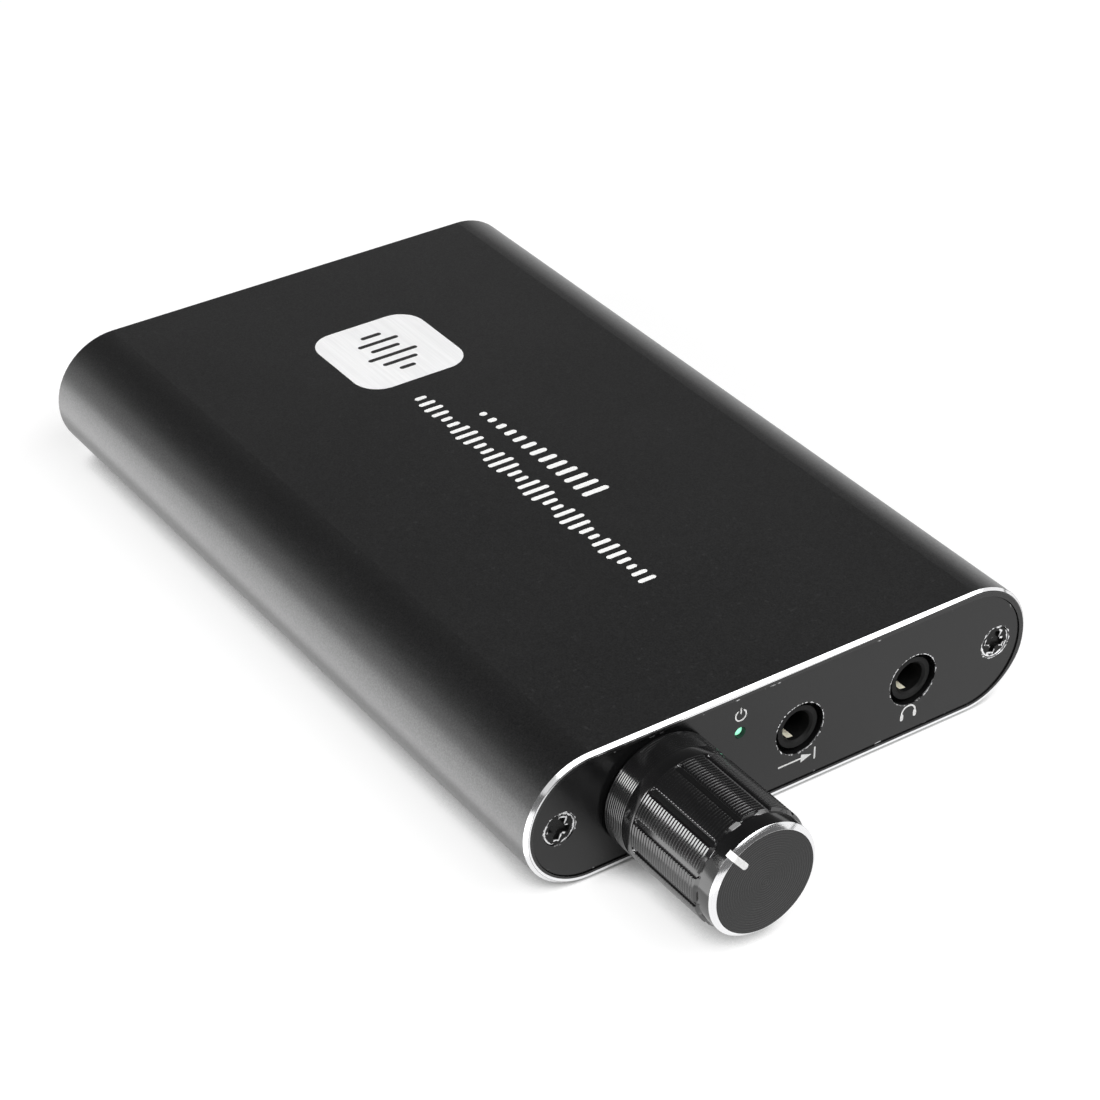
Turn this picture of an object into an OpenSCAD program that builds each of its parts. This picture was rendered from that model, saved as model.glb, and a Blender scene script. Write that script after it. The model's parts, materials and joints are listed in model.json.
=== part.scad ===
// Portable headphone amplifier: a flat aluminium tube with full-round sides, closed by two screwed panels.
// The volume knob, power light and two 3.5 mm jacks are at the front, charging and gain at the rear.
// Frame: origin at the centre of the flat underside, +Z up, front panel facing -Y, +X to its right.

/* [Case] */
// Width of the tube
case_w = 66; // [65:0.5:76]
// Height of the tube, whose sides are full round
case_h = 16; // [15.5:0.5:20]
// Length of the tube between its end planes
case_l = 102.7; // [101:0.1:130]
// Wall thickness of the tube
wall = 1.5; // [1.3:0.1:1.7]
// Leg of the bright chamfer cut round both ends
edge_chamfer = 0.4; // [0.2:0.05:0.8]
// Width of the ledge that the board slides on
rail_w = 1.4; // [0.8:0.1:2]

/* [End panels] */
// Thickness of both panels
panel_t = 1.5; // [1.2:0.1:2]
// Distance from the tube's outline to the panel's edge
panel_edge = 1.05; // [0.95:0.05:1.15]
// How far the panels sit behind the tube's end planes
panel_recess = 0.15; // [0.05:0.05:0.4]
// Gap between panel and tube
panel_gap = 0.1; // [0.05:0.05:0.15]

/* [Panel screws] */
// Distance from the tube's side to each screw
screw_edge = 4.3; // [4:0.1:5]
// Thread diameter
screw_d = 2; // [1.6:0.1:2.2]
// Diameter of the countersunk head
screw_head_d = 3.7; // [3.2:0.1:4]
// Length of a screw with its head
screw_len = 6; // [4:0.5:10]
// Diameter of the tube's screw bosses
boss_d = 4.4; // [3.8:0.1:5]

/* [Volume knob] */
// Offset of the knob's axis from the middle
knob_x = -16.65; // [-18:0.05:-15]
// Diameter of the knob over its ribs
knob_d = 13.9; // [13.6:0.1:14.6]
// Diameter of the front disc inside the bright edge
knob_disc_d = 12; // [11:0.1:12.2]
// Length of the knob
knob_l = 17.6; // [16:0.1:22]
// Gap between the knob and the tube's front plane
knob_gap = 0.3; // [0.2:0.1:1]
// Number of ribbed grip pads
grip_pads = 12; // [8:1:14]
// Angle of the pointer from straight up, clockwise from the front
knob_angle = -39.5; // [-150:0.5:150]

/* [Potentiometer] */
// Diameter of the shaft
shaft_d = 6; // [5.6:0.1:6.2]
// Outer diameter of the threaded bushing
bushing_d = 7; // [6.9:0.1:7.4]
// Length of the bushing in front of the housing
bushing_l = 5.5; // [5:0.1:5.8]
// Width of the nut across its flats
nut_af = 10; // [9.6:0.1:10.2]
// Thickness of the nut
nut_t = 1.8; // [1.2:0.1:2.4]
// Width of the housing
pot_w = 9.8; // [9.6:0.1:11]
// Height of the housing
pot_h = 11; // [10:0.1:11.6]
// Depth of the housing with its switch
pot_l = 11.5; // [9:0.5:13]

/* [Jacks] */
// Offset of the input jack from the middle
input_x = 1.8; // [0.5:0.05:3]
// Offset of the output jack from the middle
output_x = 17.15; // [14:0.05:18]
// Bore for a 3.5 mm plug
jack_bore_d = 3.6; // [3.55:0.05:3.8]
// Diameter of the collar that shows in the panel
jack_collar_d = 5.2; // [5:0.1:5.6]
// Diameter of the panel's jack holes
jack_hole_d = 6.3; // [6.2:0.1:7]
// How far the collar sits behind the panel's face
jack_sink = 0.4; // [0.1:0.05:0.6]
// Depth of the bore
jack_depth = 14.2; // [13.5:0.1:16]
// Width of the jack housing
jack_w = 7; // [6.4:0.1:8]
// Height of the jack's axis above the board
jack_axis_h = 3; // [2.7:0.1:3.2]
// How far the jacks' axis lies below the knob's axis
jack_drop = 0.35; // [0:0.05:0.4]

/* [Lights] */
// Offset of the power light from the middle
led_x = -6.15; // [-7:0.05:-5]
// Height of the power light above the knob's axis
led_rise = 2.5; // [1:0.1:3.2]
// Diameter of a light's hole in its panel
led_hole_d = 1.4; // [1.3:0.1:2]
// Diameter of a light's body
led_d = 3; // [2.6:0.1:3.4]

/* [Board] */
// Thickness of the circuit board
board_t = 1.6; // [1:0.1:1.6]
// Gap between the board's edge and the tube
board_gap = 0.3; // [0.1:0.05:0.5]

/* [Battery] */
// Width of the flat cell
battery_w = 38; // [30:0.5:44]
// Length of the flat cell
battery_l = 44; // [36:0.5:46]
// Thickness of the flat cell
battery_t = 6; // [4:0.1:6.5]
// Thickness of the foam pad under the cell
pad_t = 0.8; // [0.5:0.1:1.2]
// Diameter of the cell's two leads
lead_d = 1.2; // [0.8:0.1:1.4]

/* [Rear sockets] */
// Offset of the charging socket from the middle
usb_x = -10; // [-14:0.5:-8]
// Offset of the charge light from the middle
charge_x = 0; // [-1:0.5:2]
// Offset of the gain switch from the middle
gain_x = 11; // [9:0.5:16]
// Travel of the gain switch
gain_travel = 2; // [1.5:0.1:2.5]
// How far the gain lever stands out of the rear panel
lever_out = 1.5; // [0.8:0.1:2.5]

/* [Hidden] */

$fn = 64;

// Clearances: sliding and running fits, pushed-on fits, parts passing through holes, cuts past a face
run_clear = 0.05;
push_clear = 0.02;
hole_clear = 0.1;
part_clear = 0.3;
cut = 1;

// Main planes
axis_z = case_h / 2;
front_y = -case_l / 2;
rear_y = case_l / 2;
panel_front_y = front_y + panel_recess;
panel_back_y = panel_front_y + panel_t;
rear_back_y = -panel_back_y;

// Board: it hangs below the jacks' axis and reaches to the tube's round sides
jack_z = axis_z - jack_drop;
board_top = jack_z - jack_axis_h;
board_bottom = board_top - board_t;
cavity_r = axis_z - wall;
side_x = case_w / 2 - axis_z;
board_half = side_x + sqrt(pow(cavity_r, 2) - pow(axis_z - board_bottom, 2)) - board_gap;
board_front_y = panel_back_y + part_clear;
rail_x = board_half - rail_w;
rail_h = 1;

// Screws
screw_x = case_w / 2 - screw_edge;
screw_sink = 0.12;
screw_bore_past = 1.5;
cross_w = 0.8;
cross_l = 2.6;
cross_hub_d = 1.5;
cross_deep = 0.4;
cross_turn = 20;

// Knob, measured forwards from its rear face
knob_y = front_y - knob_gap;
nut_corner_r = nut_af / 2 / cos(30);
knob_hollow_r = nut_corner_r + part_clear;
bushing_end_y = panel_back_y - bushing_l;
knob_hollow_l = knob_y - bushing_end_y + part_clear;
skirt_l = 3;
skirt_grooves = 9;
skirt_groove_deep = 0.1;
skirt_edge = 0.15;
collar_l = 1.35;
collar_groove_l = 0.2;
pad_ribs = 26;
rib_deep = 0.12;
pad_rim_l = 0.1;
pad_bevel_l = 0.4;
front_band_l = 1.7;
front_chamfer_l = 0.5;
front_chamfer_r = 0.6;
core_d = 9.2;
core_end_wall = 3.2;
flute_w = 0.85;
flute_deep = 0.3;
flute_in = 0.1;
flute_turn = -3;
pointer_w = 0.75;
pointer_in_r = 3.7;
pointer_deep = 0.8;
grip_from = skirt_l + collar_l + collar_groove_l;
band_from = knob_l - front_chamfer_l - front_band_l;
grip_to = band_from - pad_bevel_l;
flute_to = grip_to + pad_bevel_l / 2;
core_end = knob_l - core_end_wall;

// Potentiometer inside its housing
pot_front_wall = 1.2;
rotor_r = 4;
rotor_t = 2;
track_t = 0.6;
washer_t = 0.4;
washer_wide = 0.5;
shaft_flat = 0.75;
shaft_tip_gap = 0.6;
chamber_y = panel_back_y + pot_front_wall;
pot_rear_y = panel_back_y + pot_l;
wiper_r = 0.6;
pot_pitch = 2.5;
pot_rows = [1.6, 4.1];
pot_row_z = [1, 2.4];

// Pins and board holes
pin_t = 0.4;
pin_hole_r = pin_t / sqrt(2) + hole_clear;
pin_below = 0.7;

// Jack contacts: [offset across, depth in the bore] of each stem
jack_face_y = panel_front_y + jack_sink;
jack_body_y = panel_back_y + hole_clear;
jack_end_wall = 0.8;
jack_end_y = jack_face_y + jack_depth + jack_end_wall;
jack_top_wall = 1.2;
jack_lead_in = 0.26;
blade_t = 0.4;
blade_gap = 0.06;
blade_h = 1.2;
blade_l = 2;
blade_x = jack_bore_d / 2 + push_clear;
sleeve_w = 0.9;
sleeve_x = -0.3;
sleeve_from = 0.9;
sleeve_stem = 4.4;
ring_stem = 8;
tip_stem = 11.5;

// Lights
led_z = axis_z + led_rise;
charge_z = axis_z;
led_l = 3.4;
led_nose_short = 0.3;
led_leg_gap = 0.9;
led_leg_back = 1.2;

// Circuit parts on the board, [across, back from the tube's front plane]
AMP_CHIPS = [[-3.5, 21], [8.5, 21]];
CHARGER = [20, 30.5];
CAPACITORS = [[-20, 22], [-20, 29.6], [-12.4, 22], [-12.4, 29.6]];
RESISTORS = [[2.5, 18.4], [2.5, 20.4], [2.5, 22.4], [2.5, 24.4], [14.6, 18.4], [14.6, 20.4], [14.6, 22.4],
    [14.6, 24.4], [11.5, 30.5], [14.2, 30.5]];
INDUCTOR = [20, 22];
chip_w = 3.9;
chip_l = 4.9;
chip_h = 1.5;
chip_up = 0.15;
chip_pitch = 1.27;
chip_foot = 1.05;
chip_foot_w = 0.4;
chip_foot_t = 0.2;
can_d = 6.3;
can_h = 5.2;
can_crimp = 0.2;
can_crimp_z = 1;
can_base = 6.6;
can_base_h = 0.9;
can_base_cut = 1.2;
resistor_l = 2;
resistor_w = 1.25;
resistor_h = 0.5;
inductor_r = 2.9;
inductor_waist_r = 2.3;
inductor_h = 3.6;
inductor_flange = 0.8;
inductor_slope = 0.2;

// Battery, its pad, leads and plug
battery_rear_gap = 11;
battery_rear_y = rear_back_y - battery_rear_gap;
battery_front_y = battery_rear_y - battery_l;
battery_z = board_top + pad_t + battery_t / 2;
pad_inset = 4;
plug_x = 2.5;
plug_pitch = 2;
plug_wide = 5.6;
plug_l = 4.4;
lead_l = 5;
plug_y = battery_front_y - lead_l - plug_l;
plug_h = 3.4;
header_wall = 0.6;
lead_rings = 9;
lead_sides = 8;

// Charging socket
usb_w = 8.94;
usb_h = 3.26;
usb_l = 7;
usb_wall = 0.3;
usb_sink = 0.1;
tongue_w = 6.7;
tongue_t = 0.7;
tongue_short = 0.9;
usb_z = board_top + usb_h / 2;

// Gain switch: a lever on a small carriage inside a frame
frame_wall = 0.8;
carriage_w = 4.4;
carriage_l = 2.2;
carriage_h = 2.2;
lever_w = 2;
lever_h = 1.6;
slide_clear = 0.1;
switch_z = board_top + frame_wall + slide_clear + carriage_h / 2;
switch_w = carriage_w + gain_travel + 2 * (slide_clear + frame_wall);
switch_l = carriage_l + 2 * (slide_clear + frame_wall);
switch_h = carriage_h + 2 * (slide_clear + frame_wall);
switch_rear_y = rear_back_y - hole_clear;
gain_pitch = 2;

// Cylinder along Y from y0 to y1
module y_cylinder(r, y0, y1) {
    translate([0, y1, 0])
        rotate([90, 0, 0])
            cylinder(r = r, h = y1 - y0);
}

// Cone along Y, radius r0 at y0 and r1 at y1
module y_cone(r0, r1, y0, y1) {
    translate([0, y1, 0])
        rotate([90, 0, 0])
            cylinder(r1 = r1, r2 = r0, h = y1 - y0);
}

// Block centred on X and Z, from y0 to y1
module y_block(w, h, y0, y1) {
    translate([-w / 2, y0, -h / 2])
        cube([w, y1 - y0, h]);
}

// Turned shape about Y from points [radius, y]
module y_lathe(points) {
    rotate([-90, 0, 0])
        rotate_extrude()
            polygon(points);
}

// Bar along Y whose section has full-round sides, with chamfers c0 at y0 and c1 at y1
module round_sided_bar(w, h, y0, y1, c0 = 0, c1 = 0) {
    r = h / 2;
    edge = [[r - c0, y0], [r, y0 + c0], [r, y1 - c1], [r - c1, y1]];
    for (side = [-1, 1])
        translate([side * (w / 2 - r), 0, 0])
            rotate([-90, 0, 0])
                rotate([0, 0, -90 * side])
                    rotate_extrude(angle = 180)
                        polygon(concat([[0, y0]], edge, [[0, y1]]));
    rotate([0, -90, 0])
        linear_extrude(height = w - h, center = true)
            polygon(concat(edge, [for (i = [3:-1:0]) [-edge[i][0], edge[i][1]]]));
}

// Space inside the tube, less its screw bosses and board rails
module tube_cavity() {
    difference() {
        translate([0, 0, axis_z])
            round_sided_bar(case_w - 2 * wall, case_h - 2 * wall, front_y - cut, rear_y + cut);
        for (side = [-1, 1]) {
            translate([side * screw_x, 0, axis_z])
                y_cylinder(boss_d / 2, front_y - 2 * cut, rear_y + 2 * cut);
            side_fill(side, screw_x, axis_z - boss_d / 4, axis_z + boss_d / 4);
            side_fill(side, rail_x, 0, board_bottom);
            side_fill(side, rail_x, board_top + hole_clear, board_top + hole_clear + rail_h);
        }
    }
}

// Block at one side of the tube, from x outwards and from z0 to z1
module side_fill(side, x, z0, z1) {
    translate([side > 0 ? x : -case_w / 2, front_y - 2 * cut, z0])
        cube([case_w / 2 - x, case_l + 4 * cut, z1 - z0]);
}

module case_shell() {
    recess = panel_edge - panel_gap;
    depth = panel_recess + panel_t;
    color([0.05, 0.05, 0.05])
        difference() {
            translate([0, 0, axis_z])
                round_sided_bar(case_w, case_h, front_y, rear_y, edge_chamfer, edge_chamfer);
            tube_cavity();
            for (y = [front_y - cut, rear_y - depth])
                translate([0, 0, axis_z])
                    round_sided_bar(case_w - 2 * recess, case_h - 2 * recess, y, y + depth + cut);
            for (side = [-1, 1], end = [-1, 1])
                translate([side * screw_x, end * (rear_y - screw_len / 2), axis_z])
                    y_cylinder(screw_d / 2 + run_clear, -screw_len / 2 - screw_bore_past, screw_len);
        }
}

// Plate with full-round sides and its two countersunk screw holes, at the front end
module panel_plate() {
    head_y = panel_front_y + screw_sink;
    difference() {
        translate([0, 0, axis_z])
            round_sided_bar(case_w - 2 * panel_edge, case_h - 2 * panel_edge, panel_front_y, panel_back_y);
        for (side = [-1, 1])
            translate([side * screw_x, 0, axis_z]) {
                y_cylinder(screw_d / 2 + hole_clear, panel_front_y - cut, panel_back_y + cut);
                y_cone(screw_head_d / 2 + hole_clear, screw_d / 2 + hole_clear,
                    head_y, head_y + (screw_head_d - screw_d) / 2);
                y_cylinder(screw_head_d / 2 + hole_clear, panel_front_y - cut, head_y);
            }
    }
}

module front_panel() {
    color([0.16, 0.16, 0.16])
        difference() {
            panel_plate();
            translate([knob_x, 0, axis_z])
                y_cylinder(bushing_d / 2 + hole_clear, panel_front_y - cut, panel_back_y + cut);
            translate([led_x, 0, led_z])
                y_cylinder(led_hole_d / 2, panel_front_y - cut, panel_back_y + cut);
            for (x = [input_x, output_x])
                translate([x, 0, jack_z])
                    y_cylinder(jack_hole_d / 2, panel_front_y - cut, panel_back_y + cut);
        }
}

module rear_panel() {
    slot_w = lever_w + gain_travel + 2 * part_clear;
    slot_h = lever_h + 2 * part_clear;
    color([0.16, 0.16, 0.16])
        difference() {
            mirror([0, 1, 0])
                panel_plate();
            translate([usb_x, 0, usb_z])
                round_sided_bar(usb_w + 2 * part_clear, usb_h + 2 * part_clear,
                    rear_back_y - cut, rear_y + cut);
            translate([charge_x, 0, charge_z])
                y_cylinder(led_hole_d / 2, rear_back_y - cut, rear_y + cut);
            translate([gain_x, 0, switch_z])
                y_block(slot_w, slot_h, rear_back_y - cut, rear_y + cut);
        }
}

// Pair of countersunk cross-head screws at the front end
module screw_pair() {
    head_y = panel_front_y + screw_sink;
    for (side = [-1, 1])
        translate([side * screw_x, 0, axis_z])
            difference() {
                union() {
                    y_cone(screw_head_d / 2, screw_d / 2, head_y, head_y + (screw_head_d - screw_d) / 2);
                    y_cylinder(screw_d / 2, head_y + (screw_head_d - screw_d) / 2, head_y + screw_len);
                }
                for (turn = [0, 90])
                    rotate([0, cross_turn + turn, 0])
                        y_block(cross_l, cross_w, head_y - cut, head_y + cross_deep);
                y_cylinder(cross_hub_d / 2, head_y - cut, head_y + cross_deep);
            }
}

module front_screws() {
    color([0.08, 0.08, 0.08])
        screw_pair();
}

module rear_screws() {
    color([0.08, 0.08, 0.08])
        mirror([0, 1, 0])
            screw_pair();
}

// Places a child in the knob's frame: Y measured forwards is negative, straight up is the pointer
module at_knob() {
    translate([knob_x, knob_y, axis_z])
        rotate([0, knob_angle, 0])
            children();
}

// Square grooves of a turned band of radius r, as outline points from t0 to t1
function grooves(count, t0, t1, r, deep) =
    let (pitch = (t1 - t0) / count)
    [for (i = [0:count - 1], corner = [[0, 0], [0.5, 0], [0.5, deep], [1, deep]])
        [r - corner[1], -(t0 + (i + corner[0]) * pitch)]];

module knob_body() {
    knob_r = knob_d / 2;
    band_r = knob_disc_d / 2 + front_chamfer_r;
    collar_to = skirt_l + collar_l;
    ribs_to = grip_to - pad_rim_l;
    outline = concat(
        [[knob_hollow_r, 0], [knob_r - skirt_edge, 0], [knob_r, -skirt_edge]],
        grooves(skirt_grooves, 2 * skirt_edge, skirt_l, knob_r, skirt_groove_deep),
        [[knob_r, -skirt_l], [knob_r, -collar_to], [knob_r - rib_deep, -collar_to]],
        [[knob_r - rib_deep, -grip_from]],
        grooves(pad_ribs, grip_from, ribs_to, knob_r, rib_deep),
        [[knob_r, -ribs_to], [knob_r, -grip_to], [band_r, -band_from]],
        [[band_r, -(knob_l - front_chamfer_l)], [knob_disc_d / 2, -knob_l]],
        [[0, -knob_l], [0, -core_end], [core_d / 2 + push_clear, -core_end]],
        [[core_d / 2 + push_clear, -knob_hollow_l], [knob_hollow_r, -knob_hollow_l]]);
    color([0.04, 0.04, 0.04])
        at_knob()
            difference() {
                y_lathe(outline);
                for (i = [0:grip_pads - 1])
                    rotate([0, flute_turn + i * 360 / grip_pads, 0])
                        translate([0, 0, knob_r])
                            y_block(flute_w, 2 * flute_deep, -flute_to, -grip_from - flute_in);
                pointer_bar(push_clear);
            }
}

// Pointer's bar in the knob's front face, larger all round by grow
module pointer_bar(grow) {
    band_r = knob_disc_d / 2 + front_chamfer_r;
    r = pointer_w / 2 + grow;
    y0 = -knob_l - cut;
    y1 = -knob_l + pointer_deep + grow;
    translate([0, 0, pointer_in_r + pointer_w / 2])
        y_cylinder(r, y0, y1);
    translate([-r, y0, pointer_in_r + pointer_w / 2])
        cube([2 * r, y1 - y0, band_r + grow - pointer_in_r]);
}

module knob_pointer() {
    band_r = knob_disc_d / 2 + front_chamfer_r;
    color("white")
        at_knob()
            intersection() {
                pointer_bar(0);
                y_lathe([[0, -knob_l], [knob_disc_d / 2, -knob_l],
                    [band_r, -(knob_l - front_chamfer_l)], [band_r, -band_from], [0, -band_from]]);
            }
}

// Round shaft with a flat on one side, from y0 to y1
module flatted_bar(r, flat, y0, y1) {
    intersection() {
        y_cylinder(r, y0, y1);
        translate([0, 0, (flat - r) / 2])
            y_block(4 * r, flat + r, y0 - cut, y1 + cut);
    }
}

module knob_core() {
    color([0.1, 0.1, 0.1])
        at_knob()
            difference() {
                y_cylinder(core_d / 2, -core_end, -knob_hollow_l);
                flatted_bar(shaft_d / 2 + push_clear, shaft_d / 2 - shaft_flat + push_clear,
                    -core_end + shaft_tip_gap - push_clear, -knob_hollow_l + cut);
            }
}

module pot_shaft() {
    color([0.75, 0.75, 0.77])
        at_knob() {
            flatted_bar(shaft_d / 2, shaft_d / 2 - shaft_flat, -core_end + shaft_tip_gap, -knob_hollow_l);
            y_cylinder(shaft_d / 2, -knob_hollow_l, chamber_y - knob_y + part_clear);
        }
}

module pot_rotor() {
    rotor_y = chamber_y - knob_y + part_clear;
    color([0.9, 0.88, 0.8])
        at_knob() {
            y_cylinder(rotor_r, rotor_y, rotor_y + rotor_t);
            translate([0, 0, rotor_r - 2 * wiper_r])
                y_cylinder(wiper_r, rotor_y + rotor_t, rotor_y + rotor_t + part_clear / 2);
        }
}

// Rear face of the potentiometer's round chamber
chamber_end_y = chamber_y + rotor_t + track_t + 2 * part_clear;

module pot_case() {
    color([0.7, 0.7, 0.68])
        translate([knob_x, 0, axis_z])
            difference() {
                y_block(pot_w, pot_h, panel_back_y, pot_rear_y);
                y_cylinder(shaft_d / 2 + run_clear, panel_back_y - cut, chamber_y + cut);
                y_cylinder(rotor_r + part_clear, chamber_y, chamber_end_y);
            }
}

module pot_track() {
    color([0.35, 0.2, 0.1])
        translate([knob_x, 0, axis_z])
            y_cylinder(rotor_r + part_clear - push_clear, chamber_end_y - track_t, chamber_end_y);
}

module pot_bushing() {
    color([0.72, 0.6, 0.32])
        translate([knob_x, 0, axis_z])
            difference() {
                y_cylinder(bushing_d / 2, bushing_end_y, panel_back_y);
                y_cylinder(shaft_d / 2 + run_clear, bushing_end_y - cut, panel_back_y + cut);
            }
}

module pot_washer() {
    color([0.8, 0.8, 0.8])
        translate([knob_x, 0, axis_z])
            difference() {
                y_cylinder(nut_af / 2 + washer_wide, panel_front_y - washer_t, panel_front_y);
                y_cylinder(bushing_d / 2 + hole_clear, panel_front_y - washer_t - cut, panel_front_y + cut);
            }
}

module pot_nut() {
    nut_y = panel_front_y - washer_t;
    color([0.8, 0.8, 0.8])
        translate([knob_x, 0, axis_z])
            difference() {
                translate([0, nut_y, 0])
                    rotate([90, 0, 0])
                        cylinder(r = nut_corner_r, h = nut_t, $fn = 6);
                y_cylinder(bushing_d / 2 + push_clear, nut_y - nut_t - cut, nut_y + cut);
            }
}

// Upright pin through the board, from z_top down
module board_pin(x, y, z_top) {
    translate([x - pin_t / 2, y - pin_t / 2, board_bottom - pin_below])
        cube([pin_t, pin_t, z_top - board_bottom + pin_below]);
}

// Hole in the board for such a pin
module board_hole(x, y) {
    translate([x, y, board_bottom - cut])
        cylinder(r = pin_hole_r, h = board_t + 2 * cut);
}

module pot_pins() {
    color([0.8, 0.8, 0.8])
        for (row = [0:1], i = [-1:1]) {
            x = knob_x + i * pot_pitch;
            z = board_top + pot_row_z[row];
            board_pin(x, pot_rear_y + pot_rows[row], z);
            translate([x - pin_t / 2, pot_rear_y, z])
                cube([pin_t, pot_rows[row] + pin_t / 2, pin_t]);
        }
}

// Room for a contact in the jack's housing, or the contact itself when grow is 0
module jack_contact_set(grow) {
    y = jack_face_y;
    bottom = grow > 0 ? board_top - cut : board_bottom - pin_below;
    sleeve_z = jack_z - blade_x - blade_t;
    translate([sleeve_x - sleeve_w / 2 - grow, y + sleeve_from - grow, sleeve_z - grow])
        cube([sleeve_w + 2 * grow, sleeve_stem - sleeve_from + pin_t / 2 + 2 * grow, blade_t + grow * 4]);
    contact_stem(sleeve_x, y + sleeve_stem, bottom, sleeve_z + blade_t / 2, grow);
    for (c = [[1, ring_stem], [-1, tip_stem]]) {
        x = c[0] * (blade_x + blade_t / 2);
        translate([x - blade_t / 2 - grow, y + c[1] - blade_l / 2 - grow, jack_z - blade_h / 2 - grow])
            cube([blade_t + 2 * grow, blade_l + 2 * grow, blade_h + 2 * grow]);
        contact_stem(x, y + c[1], bottom, jack_z - blade_h / 4, grow);
        if (grow > 0)
            translate([x - c[0] * blade_t, y + c[1], jack_z])
                cube([blade_t * 2, blade_l + 2 * grow, blade_h + 2 * grow], center = true);
    }
}

// Stem of a jack contact, down to z0
module contact_stem(x, y, z0, z1, grow) {
    translate([x - pin_t / 2 - grow, y - pin_t / 2 - grow, z0])
        cube([pin_t + 2 * grow, pin_t + 2 * grow, z1 - z0]);
}

// Plastic housing of a 3.5 mm jack at x, its collar in the panel's hole
module jack_body(x) {
    translate([x, 0, 0])
        difference() {
            union() {
                translate([-jack_w / 2, jack_body_y, board_top])
                    cube([jack_w, jack_end_y - jack_body_y, jack_axis_h + jack_bore_d / 2 + jack_top_wall]);
                translate([0, 0, jack_z])
                    y_cylinder(jack_collar_d / 2, jack_face_y, jack_body_y);
            }
            translate([0, 0, jack_z]) {
                y_cylinder(jack_bore_d / 2, jack_face_y - cut, jack_face_y + jack_depth);
                y_cone(jack_bore_d / 2 + jack_lead_in, jack_bore_d / 2,
                    jack_face_y, jack_face_y + jack_lead_in);
            }
            jack_contact_set(blade_gap);
        }
}

module input_jack_body() {
    color([0.03, 0.03, 0.03])
        jack_body(input_x);
}

module output_jack_body() {
    color([0.03, 0.03, 0.03])
        jack_body(output_x);
}

module input_jack_contacts() {
    color([0.85, 0.7, 0.35])
        translate([input_x, 0, 0])
            jack_contact_set(0);
}

module output_jack_contacts() {
    color([0.85, 0.7, 0.35])
        translate([output_x, 0, 0])
            jack_contact_set(0);
}

// Light at the front end, its nose in the panel's hole
module panel_light(x, z) {
    nose_r = led_hole_d / 2 - hole_clear;
    translate([x, 0, z]) {
        y_cylinder(led_d / 2, panel_back_y, panel_back_y + led_l);
        y_cylinder(nose_r, panel_front_y + led_nose_short, panel_back_y);
    }
}

// Legs of such a light, back from its body and down through the board
module light_legs(x, z) {
    y0 = panel_back_y + led_l;
    for (side = [-1, 1]) {
        board_pin(x + side * led_leg_gap, y0 + led_leg_back, z);
        translate([x + side * led_leg_gap - pin_t / 2, y0, z])
            cube([pin_t, led_leg_back + pin_t / 2, pin_t]);
    }
}

module power_led() {
    color([0.55, 0.95, 0.7])
        panel_light(led_x, led_z);
}

module power_led_legs() {
    color([0.8, 0.8, 0.8])
        light_legs(led_x, led_z);
}

module charge_led() {
    color([0.9, 0.4, 0.35])
        mirror([0, 1, 0])
            panel_light(charge_x, charge_z);
}

module charge_led_legs() {
    color([0.8, 0.8, 0.8])
        mirror([0, 1, 0])
            light_legs(charge_x, charge_z);
}

module main_board() {
    notch_w = pot_w + 2 * part_clear;
    led_pin_y = panel_back_y + led_l + led_leg_back;
    color([0.05, 0.25, 0.12])
        difference() {
            translate([-board_half, board_front_y, board_bottom])
                cube([2 * board_half, -2 * board_front_y, board_t]);
            translate([knob_x - notch_w / 2, board_front_y - cut, board_bottom - cut])
                cube([notch_w, pot_rear_y + part_clear - board_front_y + cut, board_t + 2 * cut]);
            for (row = pot_rows, i = [-1:1])
                board_hole(knob_x + i * pot_pitch, pot_rear_y + row);
            for (x = [input_x, output_x]) {
                board_hole(x + sleeve_x, jack_face_y + sleeve_stem);
                board_hole(x + blade_x + blade_t / 2, jack_face_y + ring_stem);
                board_hole(x - blade_x - blade_t / 2, jack_face_y + tip_stem);
            }
            for (side = [-1, 1]) {
                board_hole(led_x + side * led_leg_gap, led_pin_y);
                board_hole(charge_x + side * led_leg_gap, -led_pin_y);
            }
            for (i = [-1:1])
                board_hole(gain_x + i * gain_pitch, switch_rear_y - switch_l / 2);
        }
}

// Places a child on the board at one of the listed [across, back] places
module on_board(place) {
    translate([place[0], front_y + place[1], board_top])
        children();
}

// Moulded body of an eight-lead chip
module chip() {
    translate([-chip_w / 2, -chip_l / 2, chip_up])
        cube([chip_w, chip_l, chip_h]);
}

// Eight gull-wing leads of a chip
module chip_lead_set() {
    t = chip_foot_t;
    mid = chip_up + chip_h / 2;
    half = chip_w / 2;
    knee = half + chip_foot / 2;
    toe = half + chip_foot;
    wing = [[half, mid], [knee, mid], [knee, t], [toe, t],
        [toe, 0], [knee - t, 0], [knee - t, mid - t], [half, mid - t]];
    for (side = [0, 180], i = [0:3])
        rotate([0, 0, side])
            translate([0, (i - 1.5) * chip_pitch + chip_foot_w / 2, 0])
                rotate([90, 0, 0])
                    linear_extrude(height = chip_foot_w)
                        polygon(wing);
}

module amplifier_chips() {
    color([0.06, 0.06, 0.06])
        for (place = AMP_CHIPS)
            on_board(place) chip();
}

module charger_chip() {
    color([0.06, 0.06, 0.06])
        on_board(CHARGER) chip();
}

module chip_leads() {
    color([0.82, 0.82, 0.82])
        for (place = concat(AMP_CHIPS, [CHARGER]))
            on_board(place) chip_lead_set();
}

module filter_capacitors() {
    r = can_d / 2;
    z = can_crimp_z;
    c = can_crimp;
    color([0.78, 0.78, 0.8])
        for (place = CAPACITORS)
            on_board(place)
                translate([0, 0, can_base_h])
                    rotate_extrude()
                        polygon([[0, 0], [r, 0], [r, z - c], [r - c, z], [r, z + c],
                            [r, can_h - c], [r - c, can_h], [0, can_h]]);
}

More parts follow.
